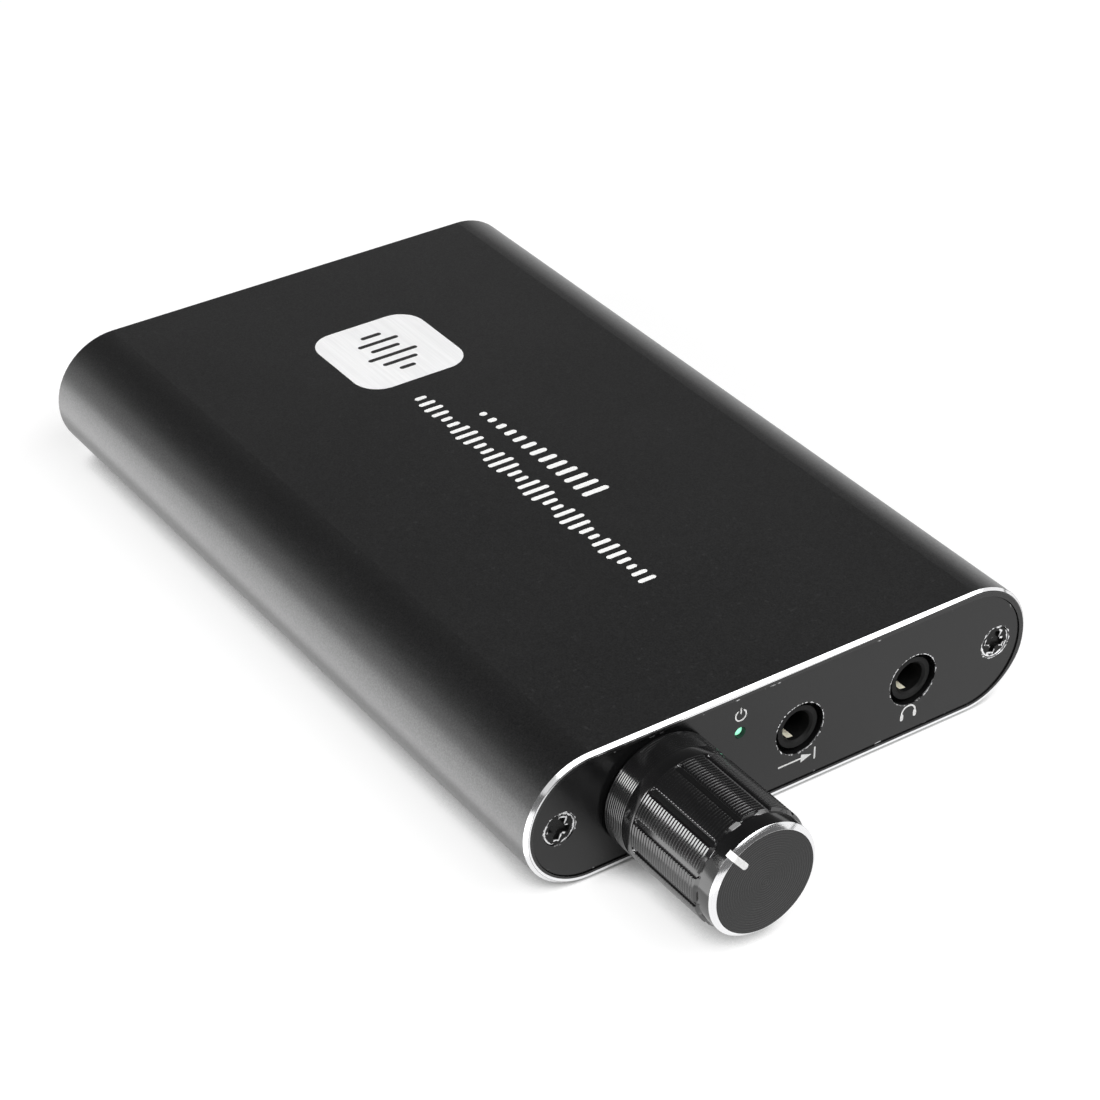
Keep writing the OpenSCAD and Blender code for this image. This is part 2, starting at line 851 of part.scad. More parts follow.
module capacitor_bases() {
    h = can_base / 2;
    c = h - can_base_cut;
    color([0.05, 0.05, 0.05])
        for (place = CAPACITORS)
            on_board(place)
                linear_extrude(height = can_base_h)
                    polygon([[-h, -h], [h, -h], [h, c], [c, h], [-c, h], [-h, c]]);
}

module chip_resistors() {
    color([0.1, 0.1, 0.12])
        for (place = RESISTORS)
            on_board(place)
                translate([-resistor_l / 2, -resistor_w / 2, 0])
                    cube([resistor_l, resistor_w, resistor_h]);
}

module power_inductor() {
    r = inductor_r;
    w = inductor_waist_r;
    h = inductor_h;
    z = inductor_flange;
    s = inductor_slope;
    color([0.2, 0.2, 0.2])
        on_board(INDUCTOR)
            rotate_extrude()
                polygon([[0, 0], [r, 0], [r, z], [w, z + s], [w, h - z - s], [r, h - z], [r, h], [0, h]]);
}

module battery_cell() {
    color([0.75, 0.76, 0.78])
        translate([0, 0, battery_z])
            round_sided_bar(battery_w, battery_t, battery_front_y, battery_rear_y);
}

module battery_pad() {
    color([0.15, 0.15, 0.15])
        translate([-battery_w / 2 + pad_inset, battery_front_y + pad_inset, board_top])
            cube([battery_w - 2 * pad_inset, battery_l - 2 * pad_inset, pad_t]);
}

// Lead in a plane of constant x: a smooth step from the cell's front face down to the plug's rear face
lead_plug_y = plug_y + plug_l;
lead_plug_z = board_top + header_wall + plug_h / 2;
function lead_point(x, t) = let (s = t * t * (3 - 2 * t))
    [x, battery_front_y + (lead_plug_y - battery_front_y) * t, battery_z + (lead_plug_z - battery_z) * s];
function lead_slope(t) = atan2(6 * t * (1 - t) * (lead_plug_z - battery_z), lead_plug_y - battery_front_y);
function lead_ring(x, t) = let (p = lead_point(x, t), a = lead_slope(t))
    [for (i = [0:lead_sides - 1]) let (b = 360 * i / lead_sides, u = cos(b), v = sin(b))
        p + lead_d / 2 * [u, -sin(a) * v, cos(a) * v]];

module battery_lead(x) {
    last = lead_rings - 1;
    points = [for (k = [0:last]) each lead_ring(x, k / last)];
    sides = [for (k = [0:last - 1], i = [0:lead_sides - 1])
        let (j = (i + 1) % lead_sides, a = k * lead_sides, b = a + lead_sides)
        each [[a + i, a + j, b + j], [a + i, b + j, b + i]]];
    caps = concat([[for (i = [lead_sides - 1:-1:0]) i]],
        [[for (i = [0:lead_sides - 1]) last * lead_sides + i]]);
    polyhedron(points, concat(sides, caps));
}

module battery_lead_red() {
    color([0.75, 0.08, 0.06])
        battery_lead(plug_x + plug_pitch / 2);
}

module battery_lead_black() {
    color([0.05, 0.05, 0.05])
        battery_lead(plug_x - plug_pitch / 2);
}

module battery_plug() {
    color([0.92, 0.91, 0.86])
        translate([plug_x - plug_wide / 2, plug_y, board_top + header_wall])
            cube([plug_wide, plug_l, plug_h]);
}

// Tray on the board that the plug pushes into, open towards the cell and at the top
module battery_header() {
    w = plug_wide + 2 * header_wall + 2 * push_clear;
    color([0.88, 0.86, 0.8])
        difference() {
            translate([plug_x - w / 2, plug_y - header_wall, board_top])
                cube([w, plug_l, header_wall + plug_h / 2]);
            translate([plug_x - plug_wide / 2 - push_clear, plug_y, board_top + header_wall])
                cube([plug_wide + 2 * push_clear, plug_l + cut, plug_h]);
        }
}

module usb_shell() {
    mouth_y = -panel_front_y - usb_sink;
    color([0.78, 0.78, 0.8])
        translate([usb_x, 0, usb_z])
            difference() {
                round_sided_bar(usb_w, usb_h, mouth_y - usb_l, mouth_y);
                round_sided_bar(usb_w - 2 * usb_wall, usb_h - 2 * usb_wall,
                    mouth_y - usb_l + usb_wall, mouth_y + cut);
            }
}

module usb_tongue() {
    mouth_y = -panel_front_y - usb_sink;
    color([0.05, 0.05, 0.05])
        translate([usb_x, 0, usb_z])
            y_block(tongue_w, tongue_t, mouth_y - usb_l + usb_wall, mouth_y - tongue_short);
}

module gain_switch_frame() {
    color([0.72, 0.72, 0.72])
        translate([gain_x, 0, switch_z])
            difference() {
                y_block(switch_w, switch_h, switch_rear_y - switch_l, switch_rear_y);
                y_block(switch_w - 2 * frame_wall, switch_h - 2 * frame_wall,
                    switch_rear_y - switch_l + frame_wall, switch_rear_y - frame_wall);
                y_block(lever_w + gain_travel + 2 * part_clear, lever_h + 2 * slide_clear,
                    switch_rear_y - frame_wall - cut, switch_rear_y + cut);
            }
}

module gain_slider() {
    inner_y = switch_rear_y - switch_l + frame_wall + slide_clear;
    color([0.06, 0.06, 0.06])
        translate([gain_x - gain_travel / 2, 0, switch_z]) {
            y_block(carriage_w, carriage_h, inner_y, inner_y + carriage_l);
            y_block(lever_w, lever_h, inner_y + carriage_l, rear_y + lever_out);
        }
}

module gain_switch_pins() {
    color([0.8, 0.8, 0.8])
        for (i = [-1:1])
            board_pin(gain_x + i * gain_pitch, switch_rear_y - switch_l / 2, board_top);
}

case_shell();
front_panel();
rear_panel();
front_screws();
rear_screws();
knob_body();
knob_core();
knob_pointer();
pot_shaft();
pot_rotor();
pot_case();
pot_bushing();
pot_washer();
pot_nut();
pot_track();
pot_pins();
input_jack_body();
input_jack_contacts();
output_jack_body();
output_jack_contacts();
power_led();
power_led_legs();
main_board();
amplifier_chips();
charger_chip();
chip_leads();
filter_capacitors();
capacitor_bases();
chip_resistors();
power_inductor();
battery_cell();
battery_pad();
battery_lead_red();
battery_lead_black();
battery_plug();
battery_header();
usb_shell();
usb_tongue();
charge_led();
charge_led_legs();
gain_switch_frame();
gain_slider();
gain_switch_pins();
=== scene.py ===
"""Looks of the portable headphone amplifier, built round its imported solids.

The knob, the two lights, the tube's end faces and the printed marks are numpy surfaces; every other
node keeps its solid and gets a procedural finish. Surfaces are worked out in millimetres and written
in metres; finishes work in metres.
"""
import json
import math

import bpy
import numpy as np
from bpy.props import FloatProperty, FloatVectorProperty, IntProperty, PointerProperty
from mathutils import Matrix, Vector


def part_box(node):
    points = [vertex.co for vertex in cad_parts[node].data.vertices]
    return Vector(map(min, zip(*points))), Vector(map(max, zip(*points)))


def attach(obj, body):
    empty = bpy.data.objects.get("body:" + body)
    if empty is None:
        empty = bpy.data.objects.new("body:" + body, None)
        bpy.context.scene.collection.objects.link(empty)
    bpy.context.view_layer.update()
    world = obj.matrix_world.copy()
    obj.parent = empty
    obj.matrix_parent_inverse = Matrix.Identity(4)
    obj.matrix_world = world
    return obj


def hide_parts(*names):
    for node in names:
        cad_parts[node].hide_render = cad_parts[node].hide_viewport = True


bl_info = {
    "name": "Headphone amplifier looks",
    "version": (1, 0, 0),
    "blender": (4, 5, 0),
    "location": "View3D > Sidebar > Amplifier",
    "description": "Builds the visible pieces and finishes of the headphone amplifier",
    "category": "Object",
}

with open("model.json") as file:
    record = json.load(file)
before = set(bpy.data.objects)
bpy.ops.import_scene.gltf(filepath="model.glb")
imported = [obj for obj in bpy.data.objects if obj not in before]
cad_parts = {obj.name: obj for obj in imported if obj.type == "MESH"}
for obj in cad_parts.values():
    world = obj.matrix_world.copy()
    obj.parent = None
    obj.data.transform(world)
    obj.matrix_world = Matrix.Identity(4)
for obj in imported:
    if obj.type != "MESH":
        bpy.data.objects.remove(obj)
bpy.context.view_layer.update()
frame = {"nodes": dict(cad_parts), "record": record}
MM = 0.001
TURN = 2 * math.pi


def node_box(node):
    """Lowest and highest corner of a node, in millimetres."""
    low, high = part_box(node)
    return np.array(low) / MM, np.array(high) / MM


SHELL_LOW, SHELL_HIGH = node_box("case_shell")
PANEL_LOW, PANEL_HIGH = node_box("front_panel")
KNOB_LOW, KNOB_HIGH = node_box("knob_body")
CORE_LOW, CORE_HIGH = node_box("knob_core")
LIGHT_LOW, LIGHT_HIGH = node_box("power_led")
CHARGE_LOW, CHARGE_HIGH = node_box("charge_led")
INPUT_X = float(np.mean([b[0] for b in node_box("input_jack_body")]))
OUTPUT_X = float(np.mean([b[0] for b in node_box("output_jack_body")]))
SCREW_LOW, SCREW_HIGH = node_box("front_screws")
SCREW_R = float(SCREW_HIGH[2] - SCREW_LOW[2]) / 2
SCREW_X = float(SCREW_HIGH[0]) - SCREW_R
SCREW_FACE = -float(SCREW_LOW[1])
SHELL_ROUND = float(SHELL_HIGH[2] - SHELL_LOW[2]) / 2
SHELL_FLAT = float(SHELL_HIGH[0]) - SHELL_ROUND
SHELL_END = float(SHELL_HIGH[1])
TOP_Z = float(SHELL_HIGH[2])
PANEL_Y = float(PANEL_LOW[1])
KNOB_X = float(KNOB_LOW[0] + KNOB_HIGH[0]) / 2
KNOB_Z = float(KNOB_LOW[2] + KNOB_HIGH[2]) / 2

# Radius of the panels' screw holes, and half the length and width of the bars of a screw's recess
SCREW_HOLE = 1.95
RECESS_REACH, RECESS_HALF = 1.3, 0.4


def length(title, text, size):
    """A length property, given in millimetres."""
    return FloatProperty(
        name=title, description=text, default=size * MM, min=0.0, unit="LENGTH", precision=5)


def number(title, text, count, least):
    """A whole number property."""
    return IntProperty(name=title, description=text, default=count, min=least)


def turn_angle(title, text, degrees):
    """An angle property, given in degrees."""
    return FloatProperty(name=title, description=text, default=math.radians(degrees), subtype="ANGLE")


def tone(title, text, *rgb):
    """A colour property."""
    return FloatVectorProperty(
        name=title, description=text, default=rgb, subtype="COLOR", size=3, min=0.0, max=1.0)


class AmplifierSizes(bpy.types.PropertyGroup):
    """Sizes of the pieces that the scene builds."""
    knob_radius: length(
        "Knob radius", "Outer radius of the knob over its ribs", (KNOB_HIGH[0] - KNOB_LOW[0]) / 2)
    knob_length: length("Knob length", "From the knob's rear face to its disc", KNOB_HIGH[1] - KNOB_LOW[1])
    disc_radius: length("Disc radius", "Radius of the front disc inside the bright edge", 5.98)
    rib_depth: length("Rib depth", "Depth of the grip's ribs", 0.07)
    flute_width: length("Flute width", "Width of the grooves between the grip pads", 0.8)
    flute_depth: length("Flute depth", "Depth of the grooves between the grip pads", 0.3)
    edge_cut: length("Bright edge", "Leg of the bright chamfer at the ends of the tube", 0.4)
    panel_clear: length("Panel clearance", "Gap between the panels and the tube's opening", 0.1)
    badge_side: length("Badge side", "Side of the silver badge on the top", 14.8)
    badge_corner: length("Badge corner", "Corner radius of the silver badge", 3.3)
    print_height: length("Print height", "How far printed marks stand above their surface", 0.012)
    jack_drop: length("Jack drop", "How far the jacks' axes lie below the middle of the panel", 0.35)
    jack_hole: length("Jack hole", "Radius of the panel's holes for the jacks", 3.15)
    ribs: number("Ribs", "Ribs along each grip pad", 26, 4)
    skirt_grooves: number("Skirt grooves", "Fine grooves round the skirt", 9, 2)
    pads: number("Grip pads", "Number of ribbed grip pads", 12, 3)
    pointer_turn: turn_angle(
        "Pointer turn", "Turn of the pointer from straight up, seen from the front", -39.5)
    screw_turn: turn_angle("Screw turn", "Turn of the screws' recesses", 20)
    flute_turn: turn_angle("Flute turn", "Turn of the nearest groove from the pointer", -3)


class AmplifierColours(bpy.types.PropertyGroup):
    """Colours of the finishes."""
    shell: tone("Shell", "Bead-blasted black anodising", 0.007, 0.007, 0.0072)
    panel: tone("Panels", "Fine matt black anodising", 0.006, 0.006, 0.0062)
    knob: tone("Knob", "Glossy black anodising", 0.006, 0.006, 0.0062)
    cut_metal: tone("Cut metal", "Bare aluminium of the bright edges", 0.86, 0.86, 0.87)
    white_print: tone("White print", "Printed marks and the pointer", 0.97, 0.97, 0.96)
    badge: tone("Badge", "Silver badge", 0.96, 0.96, 0.965)
    black_plastic: tone("Black plastic", "Jacks and lever", 0.005, 0.005, 0.005)
    gilt: tone("Gilt", "Jack contacts", 1.0, 0.93, 0.74)
    green_light: tone("Green light", "Lit power light", 0.30, 0.86, 0.55)
    red_light: tone("Red light", "Charge light", 0.55, 0.05, 0.04)
    floor: tone("Floor", "Plain pale floor", 0.33, 0.33, 0.33)


# Surfaces: a grid of rows of points whose columns close on themselves


class Surface:
    """Points and faces of one closed surface, with a finish number for each face."""

    def __init__(self, points, quads, triangles, quad_marks, triangle_marks):
        self.points = points
        self.quads = quads
        self.triangles = triangles
        self.quad_marks = quad_marks
        self.triangle_marks = triangle_marks

    def volume(self):
        """Sum of the signed volumes of the tetrahedra from the origin to each triangle."""
        halves = np.concatenate([self.quads[:, [0, 1, 2]], self.quads[:, [0, 2, 3]], self.triangles])
        a, b, c = (self.points[halves[:, i]] for i in range(3))
        return float(np.einsum("ij,ij->i", a, np.cross(b, c)).sum()) / 6

    def outward(self):
        """The same surface with its faces turned so that it holds a positive volume."""
        if self.volume() < 0:
            self.quads = self.quads[:, ::-1]
            self.triangles = self.triangles[:, ::-1]
        return self


def close_grid(rows, loop=False, marks=None):
    """Closed surface of a grid rows[row, column]: each row is a ring. With loop the last row joins the
    first, otherwise both ends close to a pole at their middle. marks gives each strip's finish number."""
    count, around = rows.shape[:2]
    index = np.arange(count * around).reshape(count, around)
    lower = index if loop else index[:-1]
    upper = np.roll(index, -1, 0) if loop else index[1:]
    quads = np.stack([lower, np.roll(lower, -1, 1), np.roll(upper, -1, 1), upper], -1)
    strips = np.zeros(len(lower), int) if marks is None else np.asarray(marks, int)
    points = rows.reshape(-1, 3)
    triangles = np.zeros((0, 3), int)
    ends = np.zeros(0, int)
    if not loop:
        points = np.concatenate([points, rows[:1].mean(1), rows[-1:].mean(1)])
        first, last = index[0], index[-1]
        fan = np.full(around, count * around)
        triangles = np.concatenate([
            np.stack([fan, np.roll(first, -1), first], -1),
            np.stack([fan + 1, last, np.roll(last, -1)], -1)])
        ends = np.repeat([strips[0], strips[-1]], around)
    made = Surface(points, quads.reshape(-1, 4), triangles, np.repeat(strips, around), ends)
    return made.outward()


def lathe(profile, centre, around):
    """Surface turned about the Y direction: profile rows are [radius, y], centre is [x, z]. A point lies
    its radius from the centre, at even angles."""
    angle = np.linspace(0, TURN, around, endpoint=False)
    radius, along = np.asarray(profile, float).T
    rows = np.stack([
        centre[0] + radius[:, None] * np.sin(angle),
        np.repeat(along[:, None], around, 1),
        centre[1] + radius[:, None] * np.cos(angle)], -1)
    return close_grid(rows)


def plate(outline, middle, place, low, high):
    """Flat plate: the outline [u, v], star-shaped about middle, drawn in to that point below and above.
    place maps u, v and the height, from low to high, to the part's frame."""
    outline = np.asarray(outline, float)
    inner = middle + (outline - middle) * 0.5
    flat = np.stack([inner, outline, outline, inner])
    height = np.array([low, low, high, high])[:, None] * np.ones(len(outline))
    return close_grid(place(flat[..., 0], flat[..., 1], height))


def stroke(path, width, place, low, high):
    """Flat stroke along a path [u, v]: its edges lie half the width to each side of the path, and its ends
    are half circles. Each ring runs across it: left and right edge below, then right and left above."""
    cap = 9
    path = np.asarray(path, float)
    step = np.gradient(path, axis=0)
    step /= np.linalg.norm(step, axis=1)[:, None]
    side = np.stack([-step[:, 1], step[:, 0]], -1) * width / 2
    turn = np.linspace(0, math.pi, cap + 2)[1:-1, None]
    start = path[0] - side[0] * np.cos(turn) - step[0] * np.sin(turn) * width / 2
    end = path[-1] + side[-1] * np.cos(turn) + step[-1] * np.sin(turn) * width / 2
    half = cap // 2 + 1
    left = np.concatenate([start[half - 1:], path + side, end[:half]])
    right = np.concatenate([start[:half][::-1], path - side, end[half - 1:][::-1]])
    flat = np.stack([left, right, right, left], 1)
    height = np.array([low, low, high, high])[None, :] * np.ones((len(flat), 1))
    return close_grid(place(flat[..., 0], flat[..., 1], height))


def rounded_box(side, corner):
    """Outline of a square with round corners about its middle: one corner's quarter circle, then that
    turned by a quarter three times."""
    turn = np.linspace(0, math.pi / 2, 12)
    quarter = np.array([[0, -1], [1, 0]])
    parts = [np.stack([np.cos(turn), np.sin(turn)], -1) * corner + (side / 2 - corner)]
    for _ in range(3):
        parts.append(parts[-1] @ quarter.T)
    return np.concatenate(parts)


def add_piece(name, surfaces, finishes, body, hides=(), crease=35):
    """Joins surfaces into one object at the origin that rides on a body and stands for the hidden nodes."""
    starts = np.cumsum([0] + [len(s.points) for s in surfaces[:-1]])
    points = np.concatenate([s.points for s in surfaces]) * MM
    quads = np.concatenate([s.quads + k for s, k in zip(surfaces, starts)])
    triangles = np.concatenate([s.triangles + k for s, k in zip(surfaces, starts)])
    marks = np.concatenate([s.quad_marks for s in surfaces] + [s.triangle_marks for s in surfaces])
    mesh = bpy.data.meshes.new(name)
    mesh.from_pydata(points.tolist(), [], quads.tolist() + triangles.tolist())
    for finish in finishes:
        mesh.materials.append(finish)
    mesh.polygons.foreach_set("material_index", marks.astype(np.int32))
    mesh.shade_smooth()
    mesh.set_sharp_from_angle(angle=math.radians(crease))
    mesh.validate()
    piece = bpy.data.objects.new(name, mesh)
    bpy.context.scene.collection.objects.link(piece)
    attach(piece, body)
    if hides:
        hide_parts(*hides)


# Finishes: procedural materials on Object coordinates


class Nodes:
    """Node tree of a material or of the world, emptied, with short ways to add to it."""

    def __init__(self, owner):
        owner.use_nodes = True
        self.tree = owner.node_tree
        self.tree.nodes.clear()

    def add(self, kind, **settings):
        """A new node with its settings."""
        node = self.tree.nodes.new(kind)
        for key, value in settings.items():
            setattr(node, key, value)
        return node

    def feed(self, socket, value):
        """Links a node's output to a socket, or sets the socket to a number or colour."""
        if isinstance(value, bpy.types.NodeSocket):
            self.tree.links.new(value, socket)
        elif hasattr(value, "__len__") and len(value) == 3 and socket.type == "RGBA":
            socket.default_value = (*value, 1.0)
        else:
            socket.default_value = value

    def math(self, operation, a, b=None):
        """One operation on numbers or outputs."""
        node = self.add("ShaderNodeMath", operation=operation)
        self.feed(node.inputs[0], a)
        if b is not None:
            self.feed(node.inputs[1], b)
        return node.outputs[0]

    def hypot(self, a, b):
        """Long side of the right triangle with the short sides a and b."""
        squares = [self.math("MULTIPLY", side, side) for side in (a, b)]
        return self.math("SQRT", self.math("ADD", *squares))

    def split(self, vector):
        """The x, y and z of a vector."""
        node = self.add("ShaderNodeSeparateXYZ")
        self.feed(node.inputs[0], vector)
        return node.outputs

    def span(self, value, low, high, out_low=0.0, out_high=1.0, smooth=True):
        """Maps a value from low..high to out_low..out_high, held at both ends."""
        node = self.add("ShaderNodeMapRange", interpolation_type="SMOOTHSTEP" if smooth else "LINEAR")
        self.feed(node.inputs["Value"], value)
        limits = {"From Min": low, "From Max": high, "To Min": out_low, "To Max": out_high}
        for key, limit in limits.items():
            self.feed(node.inputs[key], limit)
        return node.outputs["Result"]

    def mix(self, kind, values, sockets, result):
        """Mix node of one kind, with its share and both ends fed to the sockets of that kind."""
        node = self.add("ShaderNodeMix", data_type=kind)
        for socket, value in zip(sockets, values):
            self.feed(node.inputs[socket], value)
        return node.outputs[result]

    def blend(self, share, a, b):
        """Colour a where share is 0 and b where it is 1."""
        return self.mix("RGBA", (share, a, b), (0, 6, 7), 2)

    def level(self, share, a, b):
        """Number a where share is 0 and b where it is 1."""
        return self.mix("FLOAT", (share, a, b), (0, 2, 3), 0)


class Finish(Nodes):
    """One procedural material, its shader and the nodes that feed it."""

    def __init__(self, name):
        self.material = bpy.data.materials.new(name)
        super().__init__(self.material)
        self.shader = self.add("ShaderNodeBsdfPrincipled")
        self.feed(self.add("ShaderNodeOutputMaterial").inputs["Surface"], self.shader.outputs["BSDF"])
        self.place = self.add("ShaderNodeTexCoord").outputs["Object"]

    def set(self, **values):
        """Feeds the shader's sockets; an underscore stands for a space."""
        for key, value in values.items():
            self.feed(self.shader.inputs[key.replace("_", " ")], value)

    def axes(self):
        """The x, y and z of a point, in metres."""
        return self.split(self.place)

    def stretched(self, scale):
        """Object coordinates scaled along each axis."""
        node = self.add("ShaderNodeMapping")
        self.feed(node.inputs["Vector"], self.place)
        node.inputs["Scale"].default_value = scale
        return node.outputs[0]

    def noise(self, scale, detail=2.0, rough=0.5, where=None):
        """Soft noise from 0 to 1, with scale bumps to the metre."""
        node = self.add("ShaderNodeTexNoise")
        self.feed(node.inputs["Vector"], self.place if where is None else where)
        node.inputs["Scale"].default_value = scale
        node.inputs["Detail"].default_value = detail
        node.inputs["Roughness"].default_value = rough
        return node.outputs["Fac"]

    def cells(self, scale):
        """Distance from the middle of the nearest cell, with scale cells to the metre."""
        node = self.add("ShaderNodeTexVoronoi")
        self.feed(node.inputs["Vector"], self.place)
        node.inputs["Scale"].default_value = scale
        return node.outputs["Distance"]

    def relief(self, height, distance, strength):
        """Bumps the surface by a height from 0 to 1 of the given distance in millimetres."""
        node = self.add("ShaderNodeBump")
        self.feed(node.inputs["Height"], height)
        node.inputs["Distance"].default_value = distance * MM
        self.feed(node.inputs["Strength"], strength)
        self.feed(self.shader.inputs["Normal"], node.outputs[0])
        return self


def shade(colour, factor):
    """The colour made lighter or darker."""
    return tuple(min(1.0, c * factor) for c in colour)


def ring_distance(f, x, z, centre_x, centre_z):
    """Distance of a point from an axis along Y, in metres."""
    return f.hypot(f.math("SUBTRACT", x, centre_x * MM), f.math("SUBTRACT", z, centre_z * MM))


def outline_inset(f, x, z):
    """Distance of a point inside the tube's outline: the round's radius less its distance from the
    flat middle line between the two round sides."""
    side = f.math("MAXIMUM", f.math("SUBTRACT", f.math("ABSOLUTE", x), SHELL_FLAT * MM), 0.0)
    rise = f.math("SUBTRACT", z, SHELL_ROUND * MM)
    return f.math("SUBTRACT", SHELL_ROUND * MM, f.hypot(side, rise))


# Extra width of the bright cut over its chamfer, in millimetres, and where it changes along the top
CUT_BOTTOM = 0.32
CUT_LEFT, CUT_RIGHT = 0.2, -0.09
CUT_FROM, CUT_TO = -10, 26


def cut_drift(f, x, z):
    """How much wider than its chamfer the bright cut is: it runs wider along the bottom and the left of
    the end, and thinner at the top right."""
    top = f.span(x, CUT_FROM * MM, CUT_TO * MM, CUT_LEFT * MM, CUT_RIGHT * MM, smooth=False)
    return f.level(f.span(z, 0.0, SHELL_ROUND * MM), CUT_BOTTOM * MM, top)


def within(f, distance, limit):
    """1 well inside the limit and 0 at it, with an edge two hundredths of a millimetre wide."""
    return f.span(distance, limit - 0.01 * MM, limit - 0.03 * MM)


def shell_finish(sizes, colours):
    """Bead-blasted black anodising, with the bright chamfers cut through it at both ends."""
    f = Finish("shell_looks")
    x, y, z = f.axes()
    cut = sizes.edge_cut
    end = f.math("SUBTRACT", SHELL_END * MM, f.math("ABSOLUTE", y))
    inset = outline_inset(f, x, z)
    on_cut = f.math("MULTIPLY", within(f, end, cut), within(f, inset, cut))
    missed = f.math("SUBTRACT", inset, f.math("MINIMUM", cut_drift(f, x, z), 0.0))
    bare = f.math("MULTIPLY", on_cut, within(f, missed, cut))
    dim = f.math("MULTIPLY", f.math("SUBTRACT", on_cut, bare), 0.8)
    blast = f.noise(5600, 1.0, 0.5)
    drift = f.noise(55, 3.0)
    speck = f.span(f.noise(1900, 1.0), 0.68, 0.76)
    black = f.blend(f.span(blast, 0.3, 0.7), shade(colours.shell, 0.72), shade(colours.shell, 1.35))
    black = f.blend(f.math("MULTIPLY", speck, 0.3), black, (0.05, 0.05, 0.051))
    lines = f.noise(900, 2.0, where=f.stretched((1, 14, 1)))
    silver = f.blend(lines, shade(colours.cut_metal, 0.9), colours.cut_metal)
    dull = f.math(
        "ADD", f.span(f.noise(2400, 2.0), 0.25, 0.75, 0.32, 0.36), f.span(drift, 0.3, 0.7, -0.015, 0.015))
    gleam = f.blend(f.span(blast, 0.2, 0.8, smooth=False), (0.62, 0.62, 0.62), (1, 1, 1))
    f.set(
        Base_Color=f.blend(bare, black, silver),
        Metallic=bare,
        Roughness=f.level(bare, dull, f.span(lines, 0.3, 0.7, 0.09, 0.16)),
        Specular_Tint=f.blend(dim, gleam, (0, 0, 0)),
        IOR=1.95)
    f.relief(blast, 0.02, f.level(bare, 0.08, 0.02))
    return f.material


def panel_finish(sizes, colours):
    """Fine matt black anodising, with a broken line of bare bright metal at its rim and its holes' edges:
    partly wear, partly a painted edge highlight.
    """
    f = Finish("panel_looks")
    x, y, z = f.axes()
    grain = f.noise(7000, 2.0)
    ragged = f.noise(2600, 3.0, 0.6)
    hole, jack_z = sizes.jack_hole / MM, SHELL_ROUND - sizes.jack_drop / MM
    # Broken bright lines at the rim and round the holes: bare metal for wear, and painted edge highlights
    rim = f.span(outline_inset(f, x, z), 1.25 * MM, 1.12 * MM)
    wear_and_edge_highlight = f.math("MULTIPLY", rim, f.span(f.noise(700, 2.0), 0.62, 0.68))
    for centre, rise, radius in (
            (INPUT_X, jack_z, hole), (OUTPUT_X, jack_z, hole),
            (SCREW_X, SHELL_ROUND, SCREW_HOLE), (-SCREW_X, SHELL_ROUND, SCREW_HOLE)):
        off = f.math("SUBTRACT", ring_distance(f, x, z, centre, rise), radius * MM)
        rough_off = f.math("ADD", off, f.span(ragged, 0.3, 0.75, 0.15 * MM, -0.12 * MM))
        line = f.math("MULTIPLY", f.span(rough_off, 0.1 * MM, 0.04 * MM), f.span(off, -0.3 * MM, -0.2 * MM))
        wear_and_edge_highlight = f.math("MAXIMUM", wear_and_edge_highlight, line)
    wear_and_edge_highlight = f.math("MULTIPLY", wear_and_edge_highlight, f.span(f.noise(420, 2.0), 0.36, 0.46))
    wear_and_edge_highlight = f.math("MULTIPLY", wear_and_edge_highlight, f.span(y, (PANEL_Y + 0.16) * MM, (PANEL_Y + 0.05) * MM))
    black = f.blend(grain, shade(colours.panel, 0.8), shade(colours.panel, 1.2))
    f.set(
        Base_Color=f.blend(wear_and_edge_highlight, black, shade(colours.cut_metal, 0.95)),
        Metallic=wear_and_edge_highlight,
        Roughness=f.level(wear_and_edge_highlight, f.span(grain, 0.3, 0.7, 0.17, 0.22), 0.3),
        IOR=1.42)
    f.relief(f.math("ADD", f.math("MULTIPLY", grain, 0.3), wear_and_edge_highlight), 0.02, 0.35)
    return f.material


def land_finish(sizes, colours):
    """Sawn and blackened end of the tube with fine lines across it, bare where the bright cut reaches it."""
    f = Finish("end_face_looks")
    x, _, z = f.axes()
    beyond = f.math("SUBTRACT", outline_inset(f, x, z), cut_drift(f, x, z))
    bare = f.span(beyond, sizes.edge_cut + 0.01 * MM, sizes.edge_cut - 0.01 * MM)
    lines = f.noise(1500, 3.0, where=f.stretched((1, 1, 6)))
    black = f.blend(lines, shade(colours.panel, 0.8), shade(colours.panel, 1.6))
    f.set(
        Base_Color=f.blend(bare, black, colours.cut_metal),
        Metallic=bare,
        Roughness=f.level(bare, f.span(lines, 0.3, 0.7, 0.2, 0.3), 0.15),
        IOR=1.48)
    return f.relief(lines, 0.008, 0.4).material


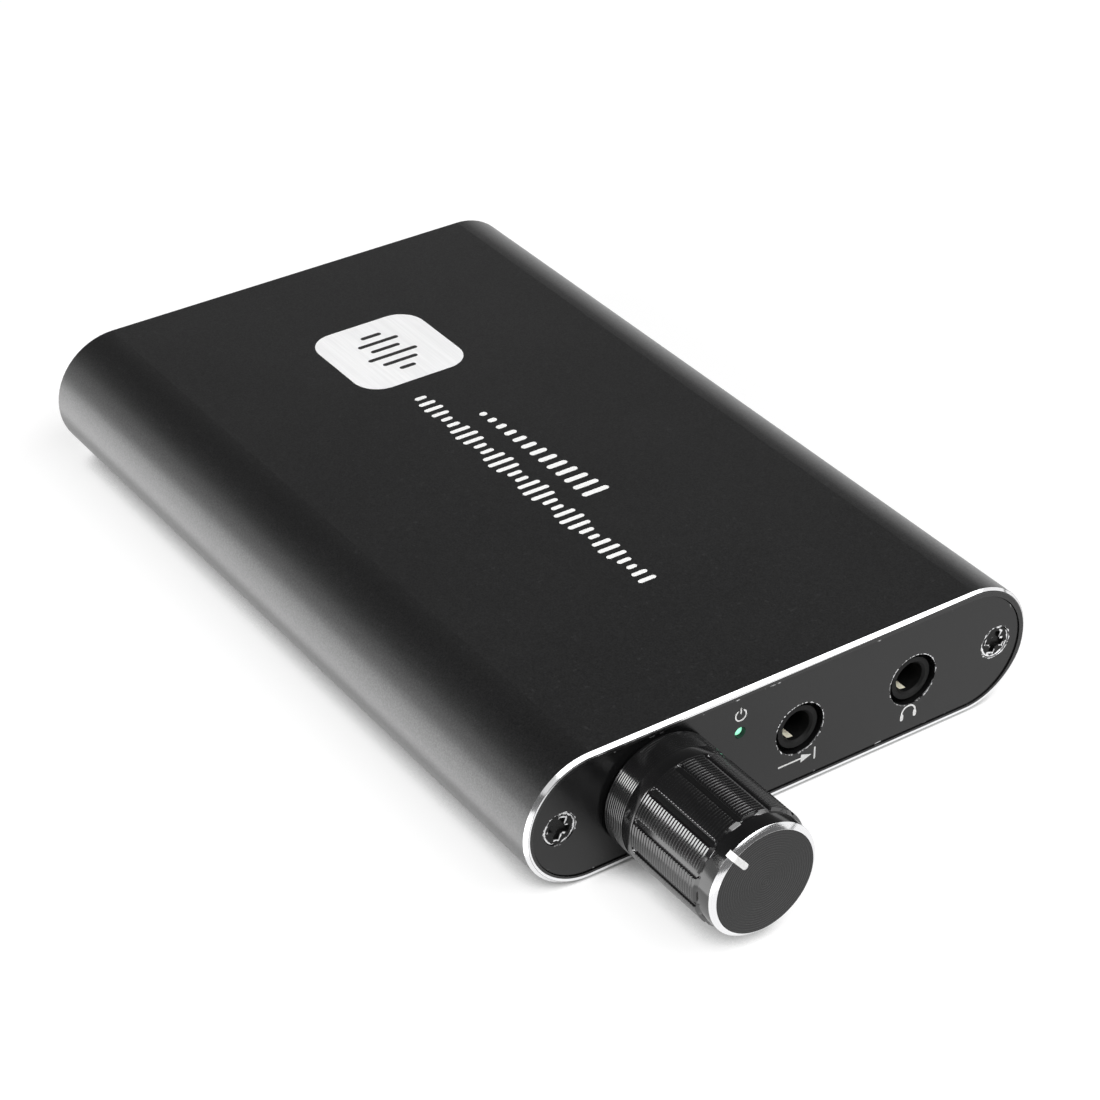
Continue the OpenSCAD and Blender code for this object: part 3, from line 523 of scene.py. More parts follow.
def screw_finish(sizes, colours):
    """Blackened screw with broken lines of bare bright metal round its head and round the driver recess:
    partly wear, partly painted edge highlights.
    In the recess's turned frame u, v the cross is the union of two bars, so the distance outside it is
    the least of the two bars' distances, each the greatest over its two directions."""
    f = Finish("screw_looks")
    x, y, z = f.axes()
    across = f.math("SUBTRACT", x, f.math("MULTIPLY", f.math("SIGN", x), SCREW_X * MM))
    rise = f.math("SUBTRACT", z, SHELL_ROUND * MM)
    c, s = math.cos(sizes.screw_turn), math.sin(sizes.screw_turn)
    u = f.math("ABSOLUTE", f.math("SUBTRACT", f.math("MULTIPLY", across, c), f.math("MULTIPLY", rise, s)))
    v = f.math("ABSOLUTE", f.math("ADD", f.math("MULTIPLY", across, s), f.math("MULTIPLY", rise, c)))
    bars = [
        f.math("MAXIMUM", f.math("SUBTRACT", a, RECESS_REACH * MM), f.math("SUBTRACT", b, RECESS_HALF * MM))
        for a, b in ((u, v), (v, u))]
    # Broken bright lines at the recess's edges and the head's rim: bare metal for wear, and painted edge
    # highlights
    ragged = f.noise(1900, 3.0, 0.6)
    gap = f.math("ADD", f.math("MINIMUM", *bars), f.span(ragged, 0.3, 0.7, 0.1 * MM, -0.12 * MM))
    wear_and_edge_highlight = f.math("MULTIPLY", f.span(gap, 0.16 * MM, 0.1 * MM), f.span(f.noise(800, 2.0), 0.47, 0.53))
    rim = f.math("ADD", f.hypot(across, rise), f.span(ragged, 0.3, 0.7, -0.1 * MM, 0.12 * MM))
    rim = f.span(rim, (SCREW_R - 0.17) * MM, (SCREW_R - 0.1) * MM)
    rim = f.math("MULTIPLY", rim, f.span(f.noise(640, 2.0), 0.4, 0.48))
    face = f.span(f.math("ABSOLUTE", y), (SCREW_FACE - 0.1) * MM, (SCREW_FACE - 0.04) * MM)
    wear_and_edge_highlight = f.math("MULTIPLY", f.math("MAXIMUM", wear_and_edge_highlight, rim), face)
    grain = f.noise(3800, 3.0)
    black = f.blend(grain, (0.004, 0.004, 0.004), (0.012, 0.012, 0.012))
    f.set(
        Base_Color=f.blend(wear_and_edge_highlight, black, colours.cut_metal),
        Metallic=wear_and_edge_highlight,
        Roughness=f.level(wear_and_edge_highlight, f.span(grain, 0.3, 0.7, 0.24, 0.36), 0.3),
        IOR=1.25)
    return f.relief(f.math("ADD", f.math("MULTIPLY", grain, 0.4), wear_and_edge_highlight), 0.03, 0.6).material


def gloss_finish(colours):
    """Glossy black anodising of the turned knob, with faint lengthwise drift in its gloss."""
    f = Finish("knob_looks")
    drift = f.noise(600, 3.0, where=f.stretched((1, 0.3, 1)))
    fine = f.noise(9000, 2.0)
    f.set(
        Base_Color=f.blend(drift, shade(colours.knob, 0.7), shade(colours.knob, 1.3)),
        Roughness=f.span(drift, 0.3, 0.7, 0.12, 0.18),
        IOR=1.8)
    return f.relief(fine, 0.004, 0.3).material


def turned_rings(f, pitch):
    """Fine rings about the knob's axis: noise that depends on the radius alone."""
    x, _, z = f.axes()
    node = f.add("ShaderNodeTexNoise", noise_dimensions="1D")
    f.feed(node.inputs["W"], ring_distance(f, x, z, KNOB_X, KNOB_Z))
    node.inputs["Scale"].default_value = 1 / (pitch * MM)
    node.inputs["Detail"].default_value = 2.0
    return node.outputs["Fac"]


def disc_finish(colours):
    """Black anodised front disc with the fine rings of facing."""
    f = Finish("knob_disc_looks")
    x, _, z = f.axes()
    feed = 0.3 * MM
    wave = f.math("SINE", f.math("MULTIPLY", ring_distance(f, x, z, KNOB_X, KNOB_Z), TURN / feed))
    rings = f.math("ADD", f.math("MULTIPLY", turned_rings(f, 0.22), 0.5), f.span(wave, -1, 1, 0.0, 0.5))
    f.set(
        Base_Color=f.blend(rings, shade(colours.knob, 0.5), shade(colours.knob, 1.2)),
        Roughness=f.span(rings, 0.3, 0.7, 0.2, 0.3),
        IOR=1.42)
    return f.relief(rings, 0.02, 0.9).material


def bright_finish(colours):
    """Bare cut aluminium with fine turning lines."""
    f = Finish("bright_edge_looks")
    rings = turned_rings(f, 0.07)
    f.set(
        Base_Color=f.blend(rings, shade(colours.cut_metal, 0.9), colours.cut_metal),
        Metallic=1.0,
        Roughness=f.span(rings, 0.3, 0.7, 0.1, 0.18))
    return f.relief(rings, 0.006, 0.4).material


def print_finish(colours):
    """White screen print with a slightly uneven film."""
    f = Finish("white_print_looks")
    film = f.noise(4200, 3.0)
    f.set(
        Base_Color=f.blend(f.span(film, 0.3, 0.7), shade(colours.white_print, 0.93), colours.white_print),
        Roughness=f.span(film, 0.3, 0.7, 0.45, 0.6))
    return f.relief(film, 0.004, 0.4).material


def badge_finish(colours):
    """Brushed silver with streaks along the tube."""
    f = Finish("badge_looks")
    streak = f.noise(2600, 3.0, 0.6, where=f.stretched((1, 0.03, 1)))
    cloud = f.noise(260, 2.0, where=f.stretched((1, 0.25, 1)))
    share = f.math("ADD", f.span(streak, 0.25, 0.75, 0.0, 0.75), f.span(cloud, 0.3, 0.7, 0.0, 0.25))
    f.set(
        Base_Color=f.blend(share, shade(colours.badge, 0.93), shade(colours.badge, 1.04)),
        Metallic=0.05,
        Roughness=f.span(streak, 0.3, 0.7, 0.38, 0.52))
    return f.relief(streak, 0.006, 0.5).material


LIT, UNLIT = 1.0, 0.0


def light_finish(name, colour, glow):
    """Moulded light: tinted plastic that glows where it is lit."""
    f = Finish(name)
    haze = f.noise(2200, 2.0)
    tint = f.blend(haze, shade(colour, 0.9), shade(colour, 1.12))
    f.set(Base_Color=tint, Roughness=f.span(haze, 0.3, 0.7, 0.16, 0.26), IOR=1.5)
    if glow:
        f.set(Emission_Color=tint, Emission_Strength=glow)
    return f.relief(haze, 0.01, 0.2).material


def plain_finish(name, colour, roughness, metallic, scale, spread, bump, stretch=(1, 1, 1), ior=1.45):
    """Any other finish: two tones, a varying roughness and a fine relief from one noise."""
    f = Finish(name)
    grain = f.noise(scale, 3.0, where=f.stretched(stretch))
    f.set(
        Base_Color=f.blend(f.span(grain, 0.3, 0.7), shade(colour, 1 - spread), shade(colour, 1 + spread)),
        Metallic=metallic,
        Roughness=f.span(grain, 0.3, 0.7, max(0.05, roughness - 0.06), roughness + 0.06),
        IOR=ior)
    return f.relief(grain, bump, 0.4).material


def board_finish():
    """Green solder mask over copper traces that show as paler lines, with tinned dots."""
    f = Finish("board_looks")
    trace = f.add("ShaderNodeTexBrick", offset=0.35, squash=0.7)
    f.feed(trace.inputs["Vector"], f.place)
    trace.inputs["Scale"].default_value = 260
    trace.inputs["Mortar Size"].default_value = 0.08
    line = trace.outputs["Fac"]
    dot = f.span(f.cells(420), 0.12, 0.08)
    mask = f.blend(f.noise(900, 3.0), (0.010, 0.075, 0.032), (0.014, 0.1, 0.045))
    mask = f.blend(f.math("MULTIPLY", line, 0.6), mask, (0.03, 0.19, 0.09))
    f.set(Base_Color=f.blend(dot, mask, (0.7, 0.7, 0.68)), Metallic=dot, Roughness=f.level(dot, 0.32, 0.28))
    return f.relief(f.math("ADD", line, dot), 0.03, 0.4).material


def pouch_finish():
    """Crinkled foil of the flat cell."""
    f = Finish("cell_looks")
    fold = f.cells(260)
    fine = f.noise(1400, 3.0)
    f.set(
        Base_Color=f.blend(fine, (0.56, 0.57, 0.6), (0.72, 0.73, 0.75)),
        Metallic=0.8,
        Roughness=f.span(fold, 0.0, 0.6, 0.3, 0.45))
    return f.relief(fold, 0.15, 0.5).material


# What each record slot looks like: colour, roughness, metallic, noise scale, spread, bump, stretch, ior
PLAIN_SLOTS = {
    "core_plastic": ((0.03, 0.03, 0.03), 0.5, 0.0, 1800, 0.2, 0.01, (1, 1, 1)),
    "shaft_metal": ((0.66, 0.66, 0.68), 0.26, 1.0, 900, 0.08, 0.006, (1, 10, 1)),
    "pot_metal": ((0.6, 0.6, 0.57), 0.34, 1.0, 1100, 0.08, 0.008, (4, 1, 1)),
    "rotor_plastic": ((0.74, 0.7, 0.58), 0.45, 0.0, 1500, 0.08, 0.01, (1, 1, 1)),
    "bushing_brass": ((0.7, 0.53, 0.24), 0.26, 1.0, 600, 0.1, 0.03, (1, 8, 1)),
    "track_wafer": ((0.16, 0.07, 0.03), 0.5, 0.0, 900, 0.25, 0.01, (1, 1, 6)),
    "tinned_metal": ((0.7, 0.7, 0.69), 0.3, 1.0, 2600, 0.1, 0.01, (1, 1, 1)),
    "jack_plastic": (None, 0.5, 0.0, 3200, 0.25, 0.008, (1, 1, 1), 1.25),
    "gilt_contacts": (None, 0.35, 0.05, 2600, 0.06, 0.008, (1, 1, 1)),
    "chip_epoxy": ((0.018, 0.018, 0.019), 0.5, 0.0, 3600, 0.3, 0.012, (1, 1, 1)),
    "can_aluminium": ((0.7, 0.7, 0.72), 0.24, 1.0, 800, 0.07, 0.006, (1, 1, 9)),
    "resistor_ceramic": ((0.03, 0.03, 0.035), 0.28, 0.0, 2600, 0.25, 0.008, (1, 1, 1)),
    "inductor_ferrite": ((0.07, 0.07, 0.075), 0.6, 0.0, 2400, 0.3, 0.02, (1, 1, 1)),
    "foam_pad": ((0.03, 0.03, 0.03), 0.9, 0.0, 2200, 0.4, 0.06, (1, 1, 1)),
    "lead_red": ((0.5, 0.02, 0.016), 0.42, 0.0, 1600, 0.12, 0.008, (1, 1, 1)),
    "lead_black": ((0.016, 0.016, 0.016), 0.42, 0.0, 1600, 0.2, 0.008, (1, 1, 1)),
    "plug_nylon": ((0.8, 0.77, 0.68), 0.45, 0.0, 1500, 0.07, 0.01, (1, 1, 1)),
    "socket_steel": ((0.66, 0.66, 0.68), 0.26, 1.0, 1200, 0.08, 0.006, (1, 9, 1)),
    "switch_plastic": (None, 0.42, 0.0, 2600, 0.25, 0.01, (1, 1, 1)),
}


def slot_finishes(sizes, colours):
    """One material for each slot of the record."""
    named = {
        "jack_plastic": colours.black_plastic,
        "switch_plastic": colours.black_plastic,
        "gilt_contacts": colours.gilt}
    made = {}
    for slot, (colour, *rest) in PLAIN_SLOTS.items():
        made[slot] = plain_finish(slot + "_looks", tuple(named.get(slot, colour)), *rest)
    made["shell_anodised"] = shell_finish(sizes, colours)
    made["panel_anodised"] = panel_finish(sizes, colours)
    made["screw_black"] = screw_finish(sizes, colours)
    made["knob_anodised"] = gloss_finish(colours)
    made["pointer_white"] = print_finish(colours)
    made["green_lens"] = light_finish("green_light_looks", colours.green_light, LIT)
    made["red_lens"] = light_finish("red_light_looks", colours.red_light, UNLIT)
    made["board_laminate"] = board_finish()
    made["cell_pouch"] = pouch_finish()
    return made


# Pieces


def finish_solids(sizes, colours):
    """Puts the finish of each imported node's record slot on its mesh."""
    made = slot_finishes(sizes, colours)
    for part in frame["record"]["subparts"]:
        mesh = frame["nodes"][part["node"]].data
        mesh.materials.clear()
        mesh.materials.append(made[part["material_slot"]])


def build_end_faces(sizes, colours):
    """Ring along the tube's outline: at angle a the point lies a radius less the inset from the middle of
    the nearer round side. Its section is a thin angle that covers the end face and lines the opening
    round the panel."""
    around = 256
    angle = np.linspace(0, TURN, around, endpoint=False) + TURN / around / 2
    middle = SHELL_FLAT * np.sign(np.sin(angle))[:, None]
    under, proud, lining, deep = 0.03, 0.006, 0.015, 1.1
    opening = float(SHELL_HIGH[0] - PANEL_HIGH[0]) - sizes.panel_clear / MM
    outer = sizes.edge_cut / MM + 0.01
    hidden, lined = opening - under, opening + lining
    radius = SHELL_ROUND - np.array([outer, hidden, hidden, lined, lined, outer])
    rise = np.array([-under, -under, -deep, -deep, proud, proud])
    rings = []
    for face, out in ((float(SHELL_LOW[1]), -1), (float(SHELL_HIGH[1]), 1)):
        rows = np.stack([
            middle + radius * np.sin(angle)[:, None],
            np.broadcast_to(face + out * rise, (len(angle), len(rise))),
            SHELL_ROUND + radius * np.cos(angle)[:, None]], -1)
        rings.append(close_grid(rows, loop=True))
    add_piece("end_faces", rings, [land_finish(sizes, colours)], "case")


# The knob's stations, in millimetres forward of its rear face, then steps of its radius
SKIRT_FROM, SKIRT_TO = 0.3, 3.0
GRIP_FROM, GRIP_TO = 4.55, 14.9
FLUTE_FROM, FLUTE_TO = 4.75, 15.15
PAD_END = 15.01
BAND_FROM = 15.4
BAND_RISE = 0.6
PAD_DROP = 0.02
SKIRT_GROOVE = 0.045
REAR_BORE = 6.07


def groove_rows(start, stop, count, depth, top):
    """Stations and radii of a row of equal grooves: the radius falls by the depth times one less the
    absolute sine of the place in the pitch, so ridges are round and grooves are sharp."""
    per_groove = 6
    place = np.arange(count * per_groove + 1) / per_groove
    return start + (stop - start) * place / count, top - depth * (1 - np.abs(np.sin(math.pi * place)))


def knob_profile(sizes):
    """Rows of the knob: distance forward of the rear face, radius and finish number, in millimetres. They
    run from the bore over the rear edge, skirt, collar, grip, pad ends, band and bright edge to the disc."""
    full, disc, end = sizes.knob_radius / MM, sizes.disc_radius / MM, sizes.knob_length / MM
    band = disc + BAND_RISE
    skirt = groove_rows(SKIRT_FROM, SKIRT_TO, sizes.skirt_grooves, SKIRT_GROOVE, full)
    grip = groove_rows(GRIP_FROM, GRIP_TO, sizes.ribs, sizes.rib_depth / MM, full)
    pad_cut = PAD_END + np.array([0.0, 0.06, 0.12, 0.2, 0.28, 0.36])
    core = float(CORE_HIGH[0] - CORE_LOW[0]) / 2 + 0.02
    core_from, core_to = float(KNOB_HIGH[1] - CORE_HIGH[1]), float(KNOB_HIGH[1] - CORE_LOW[1])
    rows = [
        ([core_to, core_to, core_from, core_from, 0.05, 0.0],
         [0.02, core, core, REAR_BORE, REAR_BORE, REAR_BORE + 0.05], 0),
        ([0.0, 0.05, 0.15], [full - 0.15, full - 0.05, full], 0),
        (*skirt, 0),
        ([3.02, 3.08, 4.4, 4.48, 4.54], full - np.array([0.04, 0.03, 0.03, 0.05, 0.07]), 0),
        (*grip, 0),
        ([14.93, 14.99], [full - 0.01, full - PAD_DROP], 0),
        (pad_cut, np.full(len(pad_cut), full - PAD_DROP), 0),
        ([BAND_FROM, end - 0.54, end - 0.51], [band, band, band - 0.01], 0),
        ([end - 0.49, end - 0.02], [band - 0.03, disc + 0.02], 1),
        ([end - 0.01], [disc], 1),
        (np.full(24, end - 0.01), np.linspace(disc - 0.03, 0.02, 24), 2),
    ]
    t = np.concatenate([np.asarray(r[0], float) for r in rows])
    radius = np.concatenate([np.asarray(r[1], float) for r in rows])
    marks = np.concatenate([np.full(len(r[0]), r[2]) for r in rows])
    return t, radius, marks[1:]


def knob_columns(sizes):
    """Angles of the knob's columns: close together at the walls of each flute, wider over the pads."""
    full = sizes.knob_radius / MM
    half = sizes.flute_width / MM / 2
    pitch = TURN * full / sizes.pads
    near = np.array([0, 0.4, 0.72, 0.84, 0.92, 1.0, 1.08, 1.18, 1.4]) * half
    pad = np.linspace(near[-1], pitch / 2, 6)[1:]
    right = np.concatenate([near, pad])
    across = np.concatenate([-right[1:-1][::-1], right])
    return (np.arange(sizes.pads)[:, None] * pitch + across).ravel() / full, across


def pad_ends(sizes, t, radius, across):
    """Radius of every point once the front ends of the pads are cut down to the band behind the bright
    edge: a steep step that leans back to 45 degrees over the right half of each pad."""
    pitch = TURN * sizes.knob_radius / MM / sizes.pads
    from_middle = np.tile(across - np.sign(across) * pitch / 2, sizes.pads)
    steep, lean, lean_width = 2.8, 1.85, 0.3
    slope = steep - lean * np.clip(from_middle / lean_width, 0, 1)
    past = np.maximum(t - PAD_END, 0)[:, None]
    band = sizes.disc_radius / MM + BAND_RISE
    cut = np.maximum(sizes.knob_radius / MM - PAD_DROP - past * slope[None, :], band)
    return np.where(((t >= PAD_END) & (t < BAND_FROM - 0.01))[:, None], cut, radius[:, None])


def build_knob(sizes, colours):
    """Point at angle a and forward distance t: radius r(t), less the flute's depth inside a capsule whose
    middle line runs along each gap between pads, where the ribs fade out."""
    t, radius, marks = knob_profile(sizes)
    angle, across = knob_columns(sizes)
    half = sizes.flute_width / MM / 2
    start, stop = FLUTE_FROM + half, FLUTE_TO - half
    run_in, wall = 0.6, 0.1
    beyond = np.maximum(np.maximum(run_in * (start - t), t - stop), 0)[:, None]
    reach = np.hypot(beyond, np.tile(np.abs(across), sizes.pads)[None, :])
    inside = np.clip((half + wall / 2 - reach) / wall, 0, 1)
    inside = inside * inside * (3 - 2 * inside)
    on_grip = ((t >= GRIP_FROM) & (t < BAND_FROM))[:, None]
    full = pad_ends(sizes, t, radius, across)
    bed = np.minimum(sizes.knob_radius / MM - sizes.flute_depth / MM, full)
    r = np.where(on_grip, full * (1 - inside) + bed * inside, full)
    turn = angle[None, :] + sizes.pointer_turn + sizes.flute_turn
    rows = np.stack([
        KNOB_X + r * np.sin(turn),
        KNOB_HIGH[1] - t[:, None] * np.ones_like(r),
        KNOB_Z + r * np.cos(turn)], -1)
    surface = close_grid(rows, marks=marks)
    finishes = [gloss_finish(colours), bright_finish(colours), disc_finish(colours)]
    add_piece("knob_turning", [surface], finishes, "volume_knob", ["knob_body"], 40)


def build_lights(colours):
    """Lathe: a quarter ellipse from the nose's tip to its side, the nose, a flange and the body."""
    turn = np.linspace(0.04, math.pi / 2, 10)
    nose, dome, nose_length = 0.6, 0.3, 1.2
    for name, node, low, high, face, body_y, colour, glow, slot in (
            ("power_light", "power_led", LIGHT_LOW, LIGHT_HIGH, LIGHT_LOW[1], LIGHT_HIGH[1],
             colours.green_light, LIT, "green_lens"),
            ("charge_light", "charge_led", CHARGE_LOW, CHARGE_HIGH, CHARGE_HIGH[1], CHARGE_LOW[1],
             colours.red_light, UNLIT, "red_lens")):
        away = 1 if body_y > face else -1
        radius = (high[0] - low[0]) / 2
        flange = face + away * nose_length
        profile = np.concatenate([
            np.stack([nose * np.sin(turn), face + away * dome * (1 - np.cos(turn))], -1),
            [[nose, flange], [radius - 0.1, flange], [radius, flange + away * 0.1],
             [radius, body_y - away * 0.2], [radius - 0.2, body_y], [0.02, body_y]]])
        centre = ((low[0] + high[0]) / 2, (low[2] + high[2]) / 2)
        finish = light_finish(name + "_looks", colour, glow)
        add_piece(name, [lathe(profile, centre, 48)], [finish], "case", [node])


# Marks on the top, in millimetres: how far behind the front end they start, and where they lie across it
BADGE_BACK, BADGE_ACROSS = 79.0, 0.3
SIGN_BARS = np.array([2.2, 5.0, 3.4, 6.2, 4.2, 1.6])
SIGN_PITCH, SIGN_WIDTH = 1.7, 0.62
WEDGE_BACK, WEDGE_FOOT, WEDGE_PITCH, WEDGE_WIDTH = 60.4, 1.6, 1.75, 0.75
WEDGE_LEAST, WEDGE_GROWTH, WEDGE_COUNT = 0.2, 2.6, 13
WAVE_BACK, WAVE_ACROSS, WAVE_PITCH, WAVE_WIDTH = 67.5, -2.45, 1.425, 0.62
WAVE_LEAST, WAVE_HEIGHT, WAVE_COUNT = 0.45, 2.4, 33

# Signs on the front panel, in millimetres: their height above the floor
POWER_SIGN_Z, INPUT_SIGN_Z, OUTPUT_SIGN_Z = 12.75, 3.55, 2.85

# Height of every mark's underside over its surface, in millimetres: just sunk into it
MARK_FOOT = -0.02


def on_top(u, v, h):
    """Top of the tube: u runs towards the front, v to the right, h up."""
    return np.stack([v, -u, TOP_Z + h], -1)


def on_front(u, v, h):
    """Front panel: u to the right, v up, h outwards."""
    return np.stack([u, PANEL_Y - h, v], -1)


def arc(centre, radius, start, stop, count=24):
    """Points on a circle from one angle to another, in degrees from the u direction."""
    turn = np.radians(np.linspace(start, stop, count))
    return np.stack([centre[0] + radius * np.cos(turn), centre[1] + radius * np.sin(turn)], -1)


def bar(u0, v0, u1, v1):
    """Straight path of three points."""
    return np.linspace([u0, v0], [u1, v1], 3)


def arrow_head(tip, size):
    """Triangle that points along u: its corners lie on a circle at 0, 140 and 220 degrees."""
    corner = np.radians([0, 140, 220])
    return np.stack([tip[0] + size * (np.cos(corner) - 1), tip[1] + size * np.sin(corner)], -1)


def bar_row(back, pitch, lows, highs, width, rise):
    """Bars across the top at an even pitch towards the front, each from its low to its high end."""
    along = -(SHELL_LOW[1] + back) + pitch * np.arange(len(lows))
    return [
        stroke(bar(u, low, u, high), width, on_top, MARK_FOOT, rise)
        for u, low, high in zip(along, lows, highs)]


def front_line(path, width, rise):
    """Stroke on the front panel."""
    return stroke(path, width, on_front, MARK_FOOT, rise)


def power_sign(x, z, rise):
    """Ring left open at its top, with an upright bar in the gap."""
    radius, half_gap, line = 0.68, 35, 0.17
    ring = arc((x, z), radius, 90 + half_gap, 450 - half_gap, 32)
    return [front_line(ring, line, rise), front_line(bar(x, z + 0.25, x, z + 0.85), line, rise)]


def input_sign(x, z, rise):
    """Arrow that runs right to an upright bar."""
    line, half_bar = 0.2, 0.7
    head = arrow_head((x + 1.75, z), 0.8)
    return [
        front_line(bar(x - 2.6, z, x + 0.75, z), line, rise),
        plate(head, np.array([x + 1.0, z]), on_front, MARK_FOOT, 2 * rise),
        front_line(bar(x + 2.2, z - half_bar, x + 2.2, z + half_bar), line, rise)]


def headphone_sign(x, z, rise):
    """Arched band over two short wide bars, with its middle a little left of x."""
    middle, reach, band, cup, cup_length = x - 0.3, 0.9, 0.2, 0.42, 0.45
    cups = [
        front_line(bar(u, z, u, z + cup_length), cup, 2 * rise)
        for u in (middle - reach, middle + reach)]
    return [front_line(arc((middle, z + 0.55), reach + 0.05, 10, 170), band, rise), *cups]


def build_marks(sizes, colours):
    """Plates and strokes a hair above their surface. The wedge row's bars grow evenly; the wave row's bars
    follow a product of two sines."""
    rise = sizes.print_height / MM
    white, silver = print_finish(colours), badge_finish(colours)
    middle = np.array([-(SHELL_LOW[1] + BADGE_BACK), BADGE_ACROSS])
    square = rounded_box(sizes.badge_side / MM, sizes.badge_corner / MM) + middle
    add_piece(
        "badge", [plate(square, middle, on_top, MARK_FOOT, rise)], [silver], "case")
    sign = bar_row(
        BADGE_BACK + SIGN_PITCH * (len(SIGN_BARS) - 1) / 2, SIGN_PITCH,
        BADGE_ACROSS - SIGN_BARS / 2, BADGE_ACROSS + SIGN_BARS / 2, SIGN_WIDTH, 1.6 * rise)
    black = plain_finish("badge_sign_looks", (0.02, 0.02, 0.02), 0.5, 0.0, 3000, 0.2, 0.004)
    add_piece("badge_sign", sign, [black], "case")
    foot = np.full(WEDGE_COUNT, WEDGE_FOOT)
    top = foot + WEDGE_LEAST + np.linspace(0, WEDGE_GROWTH, WEDGE_COUNT)
    wedge = bar_row(WEDGE_BACK, WEDGE_PITCH, foot, top, WEDGE_WIDTH, rise)
    i = np.arange(WAVE_COUNT)
    swell = 0.45 + 0.55 * np.sin(math.pi * (i + 1) / (WAVE_COUNT + 1))
    half = (WAVE_LEAST + WAVE_HEIGHT * np.abs(np.sin(0.62 * i + 0.4)) * swell) / 2
    wave = bar_row(WAVE_BACK, WAVE_PITCH, WAVE_ACROSS - half, WAVE_ACROSS + half, WAVE_WIDTH, rise)
    add_piece("level_bars", wedge + wave, [white], "case")
    light_x = float(LIGHT_LOW[0] + LIGHT_HIGH[0]) / 2
    signs = [
        *power_sign(light_x, POWER_SIGN_Z, rise),
        *input_sign(INPUT_X, INPUT_SIGN_Z, rise),
        *headphone_sign(OUTPUT_X, OUTPUT_SIGN_Z, rise)]
    add_piece("front_signs", signs, [white], "case")


# Stage

# Each lamp: name, azimuth and elevation in degrees, distance and size in metres, watts and the point it
# aims at. The floor glow lies on the floor and shines up, as light thrown back by a pale table does.
MIDDLE = (0, 0, 0.008)
LAMPS = (
    ("front_softbox", (20, 46), 1.1, (1.3, 0.5), 6.5, MIDDLE),
    ("high_softbox", (20, 62), 1.2, (1.3, 0.35), 7, MIDDLE),
    ("left_strip", (-134, 11), 1.0, (1.5, 0.38), 1.1, MIDDLE),
    ("right_strip", (134, 9), 1.0, (1.5, 0.3), 0.8, MIDDLE),
    ("floor_glow", (-90, -89.9), 0.0, (0.26, 0.13), 0.17, (-0.101, 0.03, 0.001)),
    ("left_softbox", (-84, 29), 1.0, (0.72, 0.26), 5.5, MIDDLE),
    ("right_card", (71, 17), 1.0, (0.7, 0.5), 1.0, MIDDLE),
    ("fill_card", (-31, 29.5), 1.2, (0.42, 0.46), 0.4, MIDDLE),
)

# The world's brightness at heights from the horizon, 0, to straight up, 1
WORLD_STOPS = ((0.0, 0.22), (0.06, 0.2), (0.15, 0.18), (0.34, 0.14), (0.56, 0.08), (1.0, 0.02))

# The floor, in metres: half its side, how far it lies under the part and the light it gives off; then how
# near the part has to be to dim that light, a painted contact shadow, and the open shares at which it is
# dark and full
FLOOR_HALF = 12
FLOOR_DROP = 0.02 * MM
FLOOR_GLOW = (0.74, 0.74, 0.74)
SHADE_REACH = 5 * MM
SHADE_FROM, SHADE_TO = 0.1, 0.5

# The camera: its place in metres, the direction of its back in degrees and its lens in millimetres
CAMERA_PLACE = (-0.16468, -0.24933, 0.20245)
CAMERA_TOWARDS = (-34.232, 33.788)
CAMERA_LENS = 100.65


def direction(azimuth, elevation):
    """Unit vector towards a place round the object: azimuth 0 is the front, 90 the right side."""
    a, e = math.radians(azimuth), math.radians(elevation)
    return Vector((math.sin(a) * math.cos(e), -math.cos(a) * math.cos(e), math.sin(e)))


def aimed(back):
    """Turn of a lamp or camera whose back points along the given direction, kept upright."""
    right = Vector((0, 0, 1)).cross(back).normalized()
    return Matrix((right, back.cross(right), back)).transposed().to_euler()


def add_softbox(name, towards, distance, size, power, aim):
    """Rectangular lamp whose back points away from the object, at a distance from the point it aims at."""
    lamp = bpy.data.lights.new(name, "AREA")
    lamp.shape = "RECTANGLE"
    lamp.size, lamp.size_y = size
    lamp.energy = power
    box = bpy.data.objects.new(name, lamp)
    bpy.context.scene.collection.objects.link(box)
    back = direction(*towards)
    box.location = back * distance + Vector(aim)
    box.rotation_euler = aimed(back)
    box.visible_camera = False


def seen_share(f):
    """1 for rays from the camera, from gloss or through glass, otherwise 0."""
    path = f.add("ShaderNodeLightPath").outputs
    mirrored = f.math("MAXIMUM", path["Is Glossy Ray"], path["Is Transmission Ray"])
    return f.math("MAXIMUM", path["Is Camera Ray"], mirrored)


def floor_finish(colours):
    """Matt floor that also gives off light where it is seen or mirrored, so it reads as white, and less of
    it close to
    the part, so it still holds the shadow: that dimming is a painted contact shadow."""
    material = bpy.data.materials.new("floor_looks")
    f = Nodes(material)
    matt = f.add("ShaderNodeBsdfDiffuse")
    f.feed(matt.inputs["Color"], colours.floor)
    painted_contact_shade = f.add("ShaderNodeAmbientOcclusion", samples=8)
    f.feed(painted_contact_shade.inputs["Distance"], SHADE_REACH)
    glow = f.add("ShaderNodeEmission")
    f.feed(glow.inputs["Color"], f.blend(seen_share(f), (0, 0, 0), FLOOR_GLOW))
    f.feed(glow.inputs["Strength"], f.span(painted_contact_shade.outputs["AO"], SHADE_FROM, SHADE_TO))
    both = f.add("ShaderNodeAddShader")
    f.feed(both.inputs[0], matt.outputs[0])
    f.feed(both.inputs[1], glow.outputs[0])
    f.feed(f.add("ShaderNodeOutputMaterial").inputs["Surface"], both.outputs[0])
    return material


